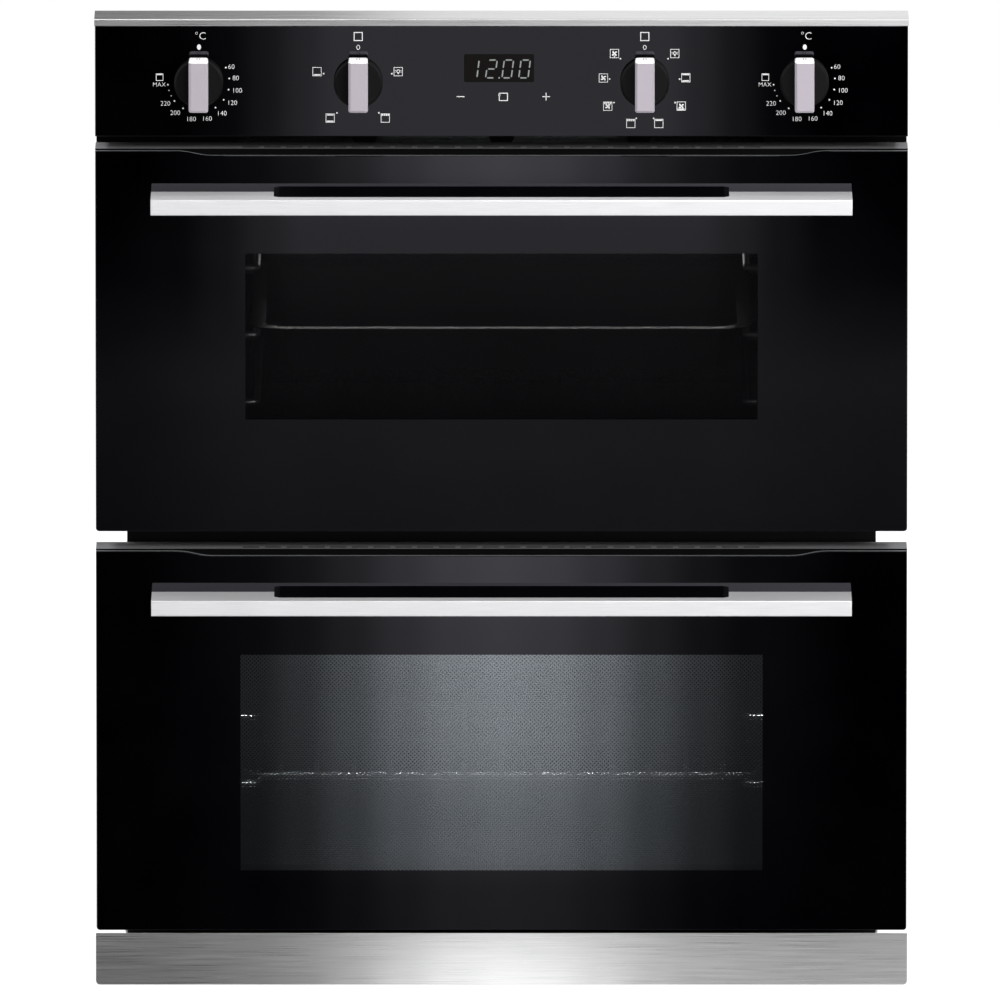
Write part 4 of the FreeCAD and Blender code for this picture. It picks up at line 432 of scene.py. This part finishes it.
# Smoked window of the display: a warm near-black with little shine.
tree, shader = new_material("display_window", Roughness=0.2, Specular_IOR_Level=0.1)
skin(tree, shader, grain(tree, 0.5 * MM), ((0.3, "0B0A09"), (0.7, "110F0E")))

# Paint in the engraved line of a grip: a matt mid grey.
tree, shader = new_material("dark_engraving", Roughness=0.6)
skin(tree, shader, grain(tree, 0.4 * MM), ((0.3, "6A686C"), (0.7, "8A888C")))
print("inks: white_ink, display_digits, display_window, dark_engraving")

# %% [markdown]
# ## Drawing tools for the prints
#
# The prints could be a picture on the glass, but ink cut from flat shapes stays sharp however near the
# camera comes. Every print is drawn as on paper, with x to the right and y up, in millimetres from the
# middle of its dial. Strips, frames, dots and letters are cut from flat primitives.

# %% Strips and frames
LINE = 0.4  # usual width of a printed line, in millimetres


def strip(x, y, wide, tall, tilt=0.0, corner=0.0):
    """A filled bar, with its corners cut off if asked for."""
    bpy.ops.object.select_all(action="DESELECT")
    bpy.ops.mesh.primitive_plane_add(size=1)
    bar = bpy.context.object
    bar.scale = (wide * MM, tall * MM, 1)
    bpy.ops.object.transform_apply(scale=True)
    if corner:
        bpy.ops.object.mode_set(mode="EDIT")
        bpy.ops.mesh.bevel(offset=corner * MM, affect="VERTICES")
        bpy.ops.object.mode_set(mode="OBJECT")
    bar.rotation_euler.z = tilt
    bar.location = (x * MM, y * MM, 0)
    return bar


def hollow(mark, line=LINE):
    """Leaves only a rim of the given width of the flat mark at hand."""
    bpy.ops.object.mode_set(mode="EDIT")
    bpy.ops.mesh.select_all(action="SELECT")
    bpy.ops.mesh.inset(thickness=line * MM, depth=0)
    bpy.ops.mesh.delete(type="FACE")
    bpy.ops.object.mode_set(mode="OBJECT")
    return mark


print("printed lines are", LINE, "mm wide")

# %% Dots and letters
THINNER = -0.012  # letters are printed a little thinner than the font draws them


def disc(x, y, radius, squeeze=1.0, tilt=0.0):
    """A filled dot, or an oval one."""
    bpy.ops.object.select_all(action="DESELECT")
    bpy.ops.mesh.primitive_circle_add(vertices=20, radius=radius * MM, fill_type="NGON")
    dot = bpy.context.object
    dot.scale.x = squeeze
    bpy.ops.object.transform_apply(scale=True)
    dot.rotation_euler.z = tilt
    dot.location = (x * MM, y * MM, 0)
    return dot


def letters(words, x, y, tall):
    """Words of a given height, centred on a point."""
    bpy.ops.object.select_all(action="DESELECT")
    bpy.ops.object.text_add()
    text = bpy.context.object
    text.data.body = words
    text.data.resolution_u = 3
    text.data.offset = THINNER
    bpy.ops.object.convert(target="MESH")
    mark = bpy.context.object
    bpy.ops.object.origin_set(type="ORIGIN_GEOMETRY", center="BOUNDS")
    mark.scale = [tall * MM / mark.dimensions.y] * 3
    mark.location = (x * MM, y * MM, 0)
    return mark


print("letters are offset by", THINNER)

# %% [markdown]
# ## From paper to glass
#
# Screen printing lays down all the ink of a dial at once, as one thin layer. So the flat marks of a dial
# are joined into one sheet, get the thickness of ink from a Solidify modifier, and are stood up against the
# front of the control glass, with the middle of the drawing on the knob's axis.

# %% Join marks and print them
INK = 0.12 * MM
GLASS_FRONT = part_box("control_glass")[0][1]


def merge(marks):
    """Joins objects into one that has its place in its mesh."""
    bpy.ops.object.select_all(action="DESELECT")
    for mark in marks:
        mark.select_set(True)
    bpy.context.view_layer.objects.active = marks[0]
    bpy.ops.object.transform_apply()
    if len(marks) > 1:
        bpy.ops.object.join()
    return bpy.context.object


def thicken(sheet):
    """Gives the flat sheet at hand the thickness of ink."""
    layer = sheet.modifiers.new("ink", "SOLIDIFY")
    layer.thickness = INK
    layer.offset = 0
    bpy.ops.object.modifier_apply(modifier="ink")


def on_glass(name, marks, middle, ink):
    """Prints flat marks on the control glass, round a middle given by its x and z."""
    sheet = merge(marks)
    sheet.name = sheet.data.name = name
    thicken(sheet)
    sheet.rotation_euler.x = pi / 2
    sheet.location = (middle[0], GLASS_FRONT, middle[1])
    bpy.ops.object.transform_apply()
    sheet.data.materials.clear()
    sheet.data.materials.append(FINISH[ink])
    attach(sheet, "oven")
    print(name, len(sheet.data.polygons), "faces")
    return sheet


KNOBS = ("upper_temperature", "upper_function", "lower_function", "lower_temperature")
AXIS = {}
for knob in KNOBS:
    low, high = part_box(knob + "_knob_skirt")
    AXIS[knob] = ((low[0] + high[0]) / 2, (low[2] + high[2]) / 2)
print("knob axes, x and z:", AXIS)

# %% [markdown]
# ## Temperature dials
#
# Both temperature knobs have the same scale: a dot for each 20 degrees from 60 to 220, then two small dots
# on the way to MAX. An oval mark shows where off is, with the unit above it. A small grill sign sits over
# MAX. The dots lie on a circle at equal steps, so a loop sets them. The numbers don't quite follow a
# circle, since their widths differ, so each has its own place.

# %% Print the temperature dials
NUMBERS = {"60": (24.0, 11.4), "80": (27.2, 3.0), "100": (28.6, -6.2), "120": (25.0, -15.3),
           "140": (17.4, -23.1), "160": (6.5, -27.0), "180": (-5.2, -27.3), "200": (-17.2, -22.7),
           "220": (-24.4, -15.8)}
DIAL_RADIUS = 22.6
FIRST_DOT, DOT_TURN = 62, 21.2  # degrees clockwise from the top
DOTS = [(FIRST_DOT + DOT_TURN * step, 0.6) for step in range(9)] + [(243, 0.4), (254, 0.4), (265, 0.6)]
for knob in ("upper_temperature", "lower_temperature"):
    marks = [letters(words, x, y, 3.4) for words, (x, y) in NUMBERS.items()]
    marks += [letters("MAX", -28.8, -1.8, 3.0), letters("°C", 1.4, 34.3, 5.6), disc(0.3, 25.9, 2.0, 0.75)]
    for degrees, radius in DOTS:
        turn = radians(degrees)
        marks.append(disc(DIAL_RADIUS * sin(turn), DIAL_RADIUS * cos(turn), radius))
    marks += [hollow(strip(-28.6, 3.6, 5.4, 5.4)), strip(-28.6, 5.5, 4.2, 0.7)]
    on_glass(knob + "_print", marks, AXIS[knob], "white_ink")

# %% [markdown]
# ## Function dials
#
# Each function is a little oven: a frame with a bar where a heater is on, dashes for the grill, a fan for
# the circulating air, a bulb for the lamp or a drop for defrosting. The signs share these few strokes, so
# one function draws any of them. A dot beside each sign marks the knob's place.

# %% The strokes of a function sign
SIGN = 6.6


def oven_sign(x, y, size, *shown):
    """The flat marks of one function sign."""
    marks = [hollow(strip(x, y, size, size))]
    edge = size / 2 - 1.0
    if "bottom" in shown:
        marks.append(strip(x, y - edge, size - 1.6, 0.8))
    if "top" in shown:
        marks.append(strip(x, y + edge, size - 1.6, 0.8))
    if "grill" in shown:
        marks += [strip(x + step * size / 4.6, y + edge, size / 7, 1.2) for step in (-1.5, -0.5, 0.5, 1.5)]
    if "fan" in shown:
        marks.append(disc(x, y, 0.5))
        for blade in range(4):
            turn = pi / 4 + blade * pi / 2
            marks.append(disc(x + 1.35 * cos(turn), y + 1.35 * sin(turn), 1.0, 0.55, turn + pi / 3))
    if "bulb" in shown:
        marks += [hollow(disc(x, y + 0.3, 1.3), 0.5), strip(x, y - 1.5, 1.1, 0.7)]
        marks += [strip(x + side * 2.0, y + 0.9 - 1.2 * row, 0.8, 0.4) for side in (-1, 1) for row in (0, 1)]
    if "drop" in shown:
        marks += [disc(x, y - 2.2, 0.5), strip(x, y - 1.7, 0.5, 0.5, pi / 4)]
    return marks


print("function signs are", SIGN, "mm wide")

# %% Print the function dials
# Where a sign is, where its dot is, and what the sign shows.
SIGNS = {
    "upper_function": [
        ((29.3, 7.7), (24.6, 6.2), ["bulb"]), ((19.8, -26.7), (15.1, -22.8), ["grill"]),
        ((-20.6, -26.7), (-15.7, -22.8), ["top", "bottom"]), ((-30.2, 7.7), (-25.4, 6.2), ["bottom"])],
    "lower_function": [
        ((22.0, 21.1), (17.1, 17.3), ["bulb"]), ((30.1, 3.2), (25.6, 2.2), ["top", "bottom"]),
        ((26.8, -17.8), (22.3, -15.2), ["fan", "bottom"]), ((10.3, -30.7), (6.5, -26.9), ["top"]),
        ((-10.2, -30.7), (-6.2, -26.9), ["grill"]), ((-27.1, -17.9), (-22.6, -15.2), ["fan", "grill"]),
        ((-30.3, 3.0), (-25.8, 2.2), ["fan"]), ((-22.2, 21.1), (-17.8, 17.3), ["fan", "drop"])],
}
for knob, signs in SIGNS.items():
    marks = [hollow(strip(0, 33.7, SIGN, SIGN), 0.6), hollow(disc(0, 25.7, 1.8, 0.75), 0.45)]
    for (x, y), (dot_x, dot_y), shown in signs:
        marks += oven_sign(x, y, SIGN, *shown) + [disc(dot_x, dot_y, 0.6)]
    on_glass(knob + "_print", marks, AXIS[knob], "white_ink")

# %% [markdown]
# ## Clock
#
# The clock shows 12.00 in slanted digits of seven segments, behind a window that is a little paler than the
# glass. A font would give the wrong shapes, so each digit is made of bars with cut corners. The digits
# lean: once they are printed, every point moves right by a share of its height. They also come forward by
# the thickness of ink, so they lie on the window. Under it are three touch fields: minus, a frame and plus.

# %% Make the clock
CLOCK = (0.0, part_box("control_glass")[0][2] + 50.0 * MM)
SEGMENTS = {"1": "bc", "2": "abged", "0": "abcdef"}
# Where the middle of a segment is, and whether it lies.
BARS = {"a": (0, 6.6, True), "b": (3.4, 3.4, False), "c": (3.4, -3.4, False), "d": (0, -6.6, True),
        "e": (-3.4, -3.4, False), "f": (-3.4, 3.4, False), "g": (0, 0, True)}
LEAN = 0.13

window = [strip(-1.8, 0.6, 51.4, 20.8, corner=0.8)]
on_glass("clock_window", window, CLOCK, "display_window")
marks = []
for digit, x in (("1", -20.6), ("2", -7.4), ("0", 4.6), ("0", 16.9)):
    for segment in SEGMENTS[digit]:
        bar_x, bar_y, lying = BARS[segment]
        size = (5.0, 0.95) if lying else (0.95, 5.6)
        marks.append(strip(x + bar_x, bar_y, *size, corner=0.5))
marks.append(disc(-0.9, -6.6, 0.6))
clock = on_glass("clock_digits", marks, CLOCK, "display_digits")
for point in clock.data.vertices:
    point.co.x += LEAN * (point.co.z - CLOCK[1])
    point.co.y -= INK

# %% Print the touch fields
touch = [strip(-30.0, -20.5, 5.6, 0.6), strip(32.7, -20.5, 5.6, 0.55), strip(32.7, -20.5, 0.55, 5.6)]
touch += [hollow(strip(1.4, -20.7, 6.6, 6.0), 0.55), disc(-1.6, -19.4, 0.8)]
on_glass("touch_print", touch, CLOCK, "white_ink")

# %% [markdown]
# ## Knob marks
#
# Each silver grip has a fine engraved line on the end that points at the scale. Cutting it would mean
# changing the grip itself, so it is a narrow frame of grey paint laid on that end face, and it turns with
# its knob.

# %% Engrave the grips
for knob in KNOBS:
    low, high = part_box(knob + "_knob_grip")
    mark = hollow(strip(0, 0, 2.4, 11.0), 0.5)
    mark.name = mark.data.name = knob + "_mark"
    thicken(mark)
    mark.location = (AXIS[knob][0], (low[1] + high[1]) / 2 + 0.5 * MM, high[2])
    bpy.ops.object.transform_apply()
    mark.data.materials.append(FINISH["dark_engraving"])
    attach(mark, knob + "_knob")
print("marks on", len(KNOBS), "grips")

# %% [markdown]
# ## Chassis screws
#
# The sheets are held by pan-head screws with a cross recess. One head is a short cylinder with its rim
# rounded by a Bevel modifier and its cross cut out by two Boolean cuts, one for each slit, because a single
# cutter in the shape of a cross would have to be joined first. The other heads are copies of it, turned to
# lie on the back, the sides and the sloping lid, and all of them become one piece.

# %% Model one screw head
HEAD_RADIUS, HEAD_TALL = 3.8 * MM, 2 * MM
SLIT_LONG, SLIT_WIDE = 4.2 * MM, 0.9 * MM

bpy.ops.object.select_all(action="DESELECT")
bpy.ops.mesh.primitive_cylinder_add(vertices=20, radius=HEAD_RADIUS, depth=HEAD_TALL,
                                    location=(0, 0, 0.9 * MM))
head = bpy.context.object
bpy.ops.object.transform_apply()
round_rim = head.modifiers.new("rim", "BEVEL")
round_rim.width = 0.8 * MM
round_rim.segments = 3
round_rim.limit_method = "ANGLE"
bpy.ops.object.modifier_apply(modifier="rim")
for wide, deep in ((SLIT_LONG, SLIT_WIDE), (SLIT_WIDE, SLIT_LONG)):
    bpy.ops.mesh.primitive_cube_add(size=1, location=(0, 0, 1.9 * MM))
    cutter = bpy.context.object
    cutter.scale = (wide, deep, HEAD_TALL)
    bpy.ops.object.transform_apply()
    bpy.ops.object.select_all(action="DESELECT")
    bpy.context.view_layer.objects.active = head
    slit = head.modifiers.new("slit", "BOOLEAN")
    slit.operation = "DIFFERENCE"
    slit.object = cutter
    bpy.ops.object.modifier_apply(modifier="slit")
    cutter.select_set(True)
    bpy.ops.object.delete()
print("screw head:", len(head.data.vertices), "points")

# %% Find the places of the screws
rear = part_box("rear_panel")
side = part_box("side_panel_right")
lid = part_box("top_cover")
LID_SHEET = 1 * MM
ROW = 269  # millimetres from the middle to the outer rows
fall = atan2(lid[1][2] - lid[0][2] - LID_SHEET, lid[1][1] - lid[0][1])
places = []
for x in (-ROW, ROW):
    places += [((x * MM, rear[1][1], z * MM), (-pi / 2, 0, 0)) for z in (40, 180, 320, 460, 600)]
places += [((x * MM, rear[1][1], 28 * MM), (-pi / 2, 0, 0)) for x in (-134, 0, 134)]
for sign in (-1, 1):
    for y, heights in ((-203, (34, 200, 366, 532, 690)), (267, (34, 180, 330, 480, 600))):
        places += [((sign * side[1][0], y * MM, z * MM), (0, sign * pi / 2, 0)) for z in heights]
    for y in (-190, 20, 250):
        z = lid[1][2] - (y * MM - lid[0][1]) * tan(fall)
        places.append(((sign * ROW * MM, y * MM, z), (-fall, 0, 0)))
print(len(places), "screws")

# %% Copy the head to its places
heads = [head]
for _ in places[1:]:
    bpy.ops.object.select_all(action="DESELECT")
    head.select_set(True)
    bpy.context.view_layer.objects.active = head
    bpy.ops.object.duplicate()
    heads.append(bpy.context.object)
for one, (spot, turned) in zip(heads, places):
    one.location, one.rotation_euler = spot, turned
screws = merge(heads)
screws.name = screws.data.name = "chassis_screws"
bpy.ops.object.shade_smooth_by_angle(angle=radians(40))
screws.data.materials.append(FINISH["zinc_plated_steel"])
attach(screws, "oven")
print(screws.name, len(screws.data.polygons), "faces")

# %% [markdown]
# ## Camera
#
# The picture was taken from far away, about nine degrees above the middle of the front, so the tops of the
# handles and knobs show and the uprights stay upright. A camera without perspective would do nearly the
# same, but a long lens from afar keeps the little that there is.

# %% Set the camera
PICTURE_WIDTH = 0.7345  # metres that the picture spans at the front
AIM = (-1.1 * MM, GLASS_FRONT, 361.5 * MM)
RISE = radians(9.0)
AWAY = 24.0
RUN, EYE = AWAY * cos(RISE), AIM[2] + AWAY * sin(RISE)  # the camera's way to the front, and its height
bpy.ops.object.camera_add(location=(AIM[0], AIM[1] - RUN, EYE), rotation=(pi / 2 - RISE, 0, 0))
camera = bpy.context.object
camera.data.lens = camera.data.sensor_width * AWAY / PICTURE_WIDTH
bpy.context.scene.camera = camera
print("lens", round(camera.data.lens, 1), "mm")

# %% [markdown]
# ## Paper
#
# The oven stands on white studio paper. More light could make it white, but the oven would then be too
# bright, so the paper glows a little by itself. It still takes the oven's soft shadow on its grey base.

# %% White paper
bpy.ops.mesh.primitive_plane_add(size=30, location=(0, 0, -0.5 * MM))
paper = bpy.context.object
paper.name = "studio_paper"

# White paper: flat and without any shine.
tree, shader = new_material("studio_paper", Roughness=1.0, Specular_IOR_Level=0.0, Emission_Strength=0.88)
fill(tree, shader, {"Base Color": linear(0.25), "Emission Color": linear("FFFFFF")})
paper.data.materials.append(FINISH["studio_paper"])
print("paper:", [round(length) for length in paper.dimensions], "m")

# %% [markdown]
# ## The floor that the glass mirrors
#
# Black glass looks like what it mirrors, and from here that is the floor in front of the oven. Lamps there
# would also light the oven, so a glowing sheet lies on the floor that only mirrors see. Its tones are given
# by the height on the front at which the camera sees them mirrored: a narrow beam at the top of each door,
# a broad one below it and on the control glass, a wash on the upper door's foot, and on the plinth a light
# that leans to the right.

# %% Sheets that only mirrors see


def mirror_sheet(name, size, spot, turned):
    """Adds a plane for mirror rays alone, and hands over the emptied shader tree of its material."""
    bpy.ops.mesh.primitive_plane_add(size=size, location=spot, rotation=turned)
    bpy.ops.object.transform_apply()
    sheet = bpy.context.object
    sheet.name = name
    for ray in ("camera", "diffuse", "transmission", "shadow", "volume_scatter"):
        setattr(sheet, "visible_" + ray, False)
    material = bpy.data.materials.new(name)
    material.use_nodes = True
    material.node_tree.nodes.clear()
    sheet.data.materials.append(material)
    print(name, size, "m wide")
    return material.node_tree


# %% Where the camera sees a spot of the floor mirrored
FLOOR = 7.0
LYING = (0, 0, 0)
FRONT_TOP = 720  # millimetres, where the ramps by height end
tree = mirror_sheet("floor_sheet", FLOOR, (0, GLASS_FRONT - FLOOR / 2, 0.5 * MM), LYING)
place = add(tree, "TexCoord", {}, "Object")
floor_x = add(tree, "SeparateXYZ", {"Vector": place}, "X")
floor_y = add(tree, "SeparateXYZ", {"Vector": place}, "Y")
ahead = add(tree, "Math", {0: GLASS_FRONT, 1: floor_y}, operation="SUBTRACT")
reach = add(tree, "Math", {0: ahead, 1: RUN}, operation="ADD")
drawn_in = add(tree, "Math", {0: floor_x, 1: RUN}, operation="MULTIPLY")
across = add(tree, "Math", {0: drawn_in, 1: reach}, operation="DIVIDE")
sideways = add(tree, "Math", {0: across}, operation="ABSOLUTE")
from_left = add(tree, "Math", {0: across, 1: 0.5}, operation="ADD")
lifted = add(tree, "Math", {0: ahead, 1: EYE / (FRONT_TOP * MM)}, operation="MULTIPLY")
mirrored = add(tree, "Math", {0: lifted, 1: reach}, operation="DIVIDE")


def by_height(*stops):
    """A grey of the floor that eases between pairs of a height on the front, in millimetres, and a level."""
    places = [(height / FRONT_TOP, level) for height, level in stops]
    return add(tree, "ValToRGB", {"Fac": mirrored}, stops=places, between="EASE")


print("the camera stands", round(EYE, 2), "m high and", round(RUN, 2), "m away")

# %% Beams on the floor
NARROW = ((0.0, 1.0), (0.037, 0.88), (0.073, 0.6), (0.11, 0.3), (0.147, 0.13), (0.18, 0.06), (0.27, 0.0))
BROAD = ((0.0, 1.0), (0.12, 0.98), (0.145, 0.62), (0.172, 0.25), (0.2, 0.06), (0.24, 0.0))
WIDE = ((0.0, 0.0), (0.2, 0.4), (0.35, 0.9), (0.5, 1.0), (0.65, 0.95), (0.78, 0.68), (1.0, 0.5))
LEANING = ((0.2, 0.0), (0.5, 0.25), (0.7, 0.8), (0.9, 1.0))
narrow = add(tree, "ValToRGB", {"Fac": sideways}, stops=NARROW, between="EASE")
wider = by_height((0, 0.84), (622, 0.84), (630, 1))  # the broad beam is wider below the control glass
drawn_out = add(tree, "Math", {0: sideways, 1: wider}, operation="MULTIPLY")
broad = add(tree, "ValToRGB", {"Fac": drawn_out}, stops=BROAD, between="EASE")
wide = add(tree, "ValToRGB", {"Fac": from_left}, stops=WIDE, between="EASE")
leaning = add(tree, "ValToRGB", {"Fac": from_left}, stops=LEANING, between="EASE")
print("beams across the floor: narrow, broad, wide, leaning")

# %% Which beam lies where, and how strong it is
spread = by_height((330, 0), (337, 1), (570, 1), (598, 0), (622, 0), (630, 1))
washed = by_height((330, 0), (337, 1), (430, 1), (540, 0.05), (570, 0))
plinth = by_height((0, 0.22), (36, 0.22), (41, 0))
power = by_height((0, 0.78), (34, 0.8), (41, 0.15), (64, 0.16), (110, 0.26), (212, 0.44), (261, 0.51),
                  (300, 0.61), (326, 0.63), (337, 0.09), (360, 0.1), (410, 0.12), (470, 0.15), (560, 0.28),
                  (578, 0.32), (606, 0.6), (622, 0.63), (630, 0.34))
shape = add(tree, "Mix", {"Factor": spread, 6: narrow, 7: broad}, 2, data_type="RGBA")
shape = add(tree, "Mix", {"Factor": washed, 6: shape, 7: wide}, 2, data_type="RGBA")
shape = add(tree, "Mix", {"Factor": plinth, 6: shape, 7: leaning}, 2, data_type="RGBA")
strength = add(tree, "Math", {0: power, 1: 2.0}, operation="MULTIPLY")
add(tree, "OutputMaterial", {"Surface": add(tree, "Emission", {"Color": shape, "Strength": strength})})
print("floor_sheet:", len(tree.nodes), "nodes")

# %% [markdown]
# ## Sheets for the metal
#
# Brushed and satin metal shows the room as soft bands. The room could be modelled, but a few more sheets do
# the same: behind the oven, far and near in front of it, and above it, all out of what the glass mirrors.
# They are dark on the left and bright on the right, like the room.

# %% Sheets behind, in front and above
UPRIGHT = (pi / 2, 0, 0)
# Width, place and turn of a sheet, and its greys from left to right.
SHEETS = {
    "back_sheet": (3.0, (0, 0.5, 2.1), UPRIGHT, ((-0.3, 0.18), (-0.16, 0.3), (-0.04, 0.92), (0.1, 0.95))),
    "far_sheet": (8.0, (0, GLASS_FRONT - 5.2, 4.0), UPRIGHT, ((-0.5, 0.0), (0.1, 0.25), (0.5, 1.6))),
    "near_sheet": (2.4, (1.0, GLASS_FRONT - 1.8, 1.69), UPRIGHT, ((-0.1, 0.1), (0.25, 1.4), (0.5, 2.1))),
    "ceiling_sheet": (2.4, (0, -0.4, 2.2), LYING, ((-0.3, 0.35), (0.0, 0.7), (0.5, 0.75))),
}
for name, (size, spot, turned, greys) in SHEETS.items():
    tree = mirror_sheet(name, size, spot, turned)
    sheet_x = add(tree, "SeparateXYZ", {"Vector": add(tree, "TexCoord", {}, "Object")}, "X")
    from_left = add(tree, "Math", {0: sheet_x, 1: 0.5}, operation="ADD")
    stops = [(x + 0.5, level) for x, level in greys]
    grey = add(tree, "ValToRGB", {"Fac": from_left}, stops=stops, between="EASE")
    add(tree, "OutputMaterial", {"Surface": add(tree, "Emission", {"Color": grey, "Strength": 1.0})})

# %% [markdown]
# ## Lights
#
# Soft boxes stand well to the sides and above, out of the panes' mirror direction. The right one is
# stronger, so the steel brightens from left to right. The top one is kept out of mirrors, or the zinc lid
# would show it as a white patch. In each oven a thin lamp picks out the front rail of the shelf and the
# front rim of the pan: the oven's own lamps would light everything, and the windows would look clear.

# %% Soft boxes
# Place, size and watts.
LIGHTS = {"right": ((2.6, -2.8, 1.5), (1.6, 2.0), 75), "left": ((-2.6, -2.4, 1.5), (1.4, 1.8), 4),
          "front": ((0.2, -3.4, 2.8), (2.6, 1.4), 58), "top": ((0.0, 0.3, 2.8), (2.4, 2.0), 100)}
MIDDLE = Vector((0, 0, 0.4))
for name, (spot, size, watts) in LIGHTS.items():
    bpy.ops.object.light_add(type="AREA", location=spot)
    lamp = bpy.context.object
    lamp.name = name + "_softbox"
    lamp.data.shape = "RECTANGLE"
    lamp.data.size, lamp.data.size_y = size
    lamp.data.energy = watts
    lamp.visible_glossy = name != "top"
    lamp.rotation_euler = (MIDDLE - lamp.location).to_track_quat("-Z", "Y").to_euler()
print("soft boxes:", ", ".join(LIGHTS))

# %% Oven lamps
# Place, tilt, length and watts.
OVEN_LAMPS = {"shelf_lamp": ((0, -0.2, 0.24), 0, 0.39, 0.45),
              "pan_lamp": ((0, 0.1, 0.527), -pi / 2, 0.34, 0.012)}
for name, (spot, tilt, length, watts) in OVEN_LAMPS.items():
    bpy.ops.object.light_add(type="AREA", location=spot, rotation=(tilt, 0, 0))
    lamp = bpy.context.object
    lamp.name = name
    lamp.data.shape = "RECTANGLE"
    lamp.data.size, lamp.data.size_y = length, 10 * MM
    lamp.data.spread = radians(60)
    lamp.data.energy = watts
    lamp.visible_camera = False
print("oven lamps:", ", ".join(OVEN_LAMPS))

# %% [markdown]
# ## World
#
# The background is white where the camera, a mirror or a pane looks at it. For the light that falls on the
# oven it is dimmer, or it would wash out the soft boxes. The Light Path node tells the two apart, so one
# world does both.

# %% White background
DIM = 0.4
world = bpy.data.worlds.new("studio")
bpy.context.scene.world = world
world.use_nodes = True
tree = world.node_tree
path = add(tree, "LightPath", {}).node.outputs
seen = add(tree, "Math", {0: path["Is Camera Ray"], 1: path["Is Glossy Ray"]}, operation="MAXIMUM")
seen = add(tree, "Math", {0: seen, 1: path["Is Transmission Ray"]}, operation="MAXIMUM")
strength = add(tree, "Math", {0: seen, 1: 1 - DIM, 2: DIM}, operation="MULTIPLY_ADD")
fill(tree, tree.nodes["Background"], {"Color": linear("FFFFFF"), "Strength": strength})
bpy.context.scene.view_settings.view_transform = "Standard"
print("world:", DIM, "for light, 1 where it is seen")
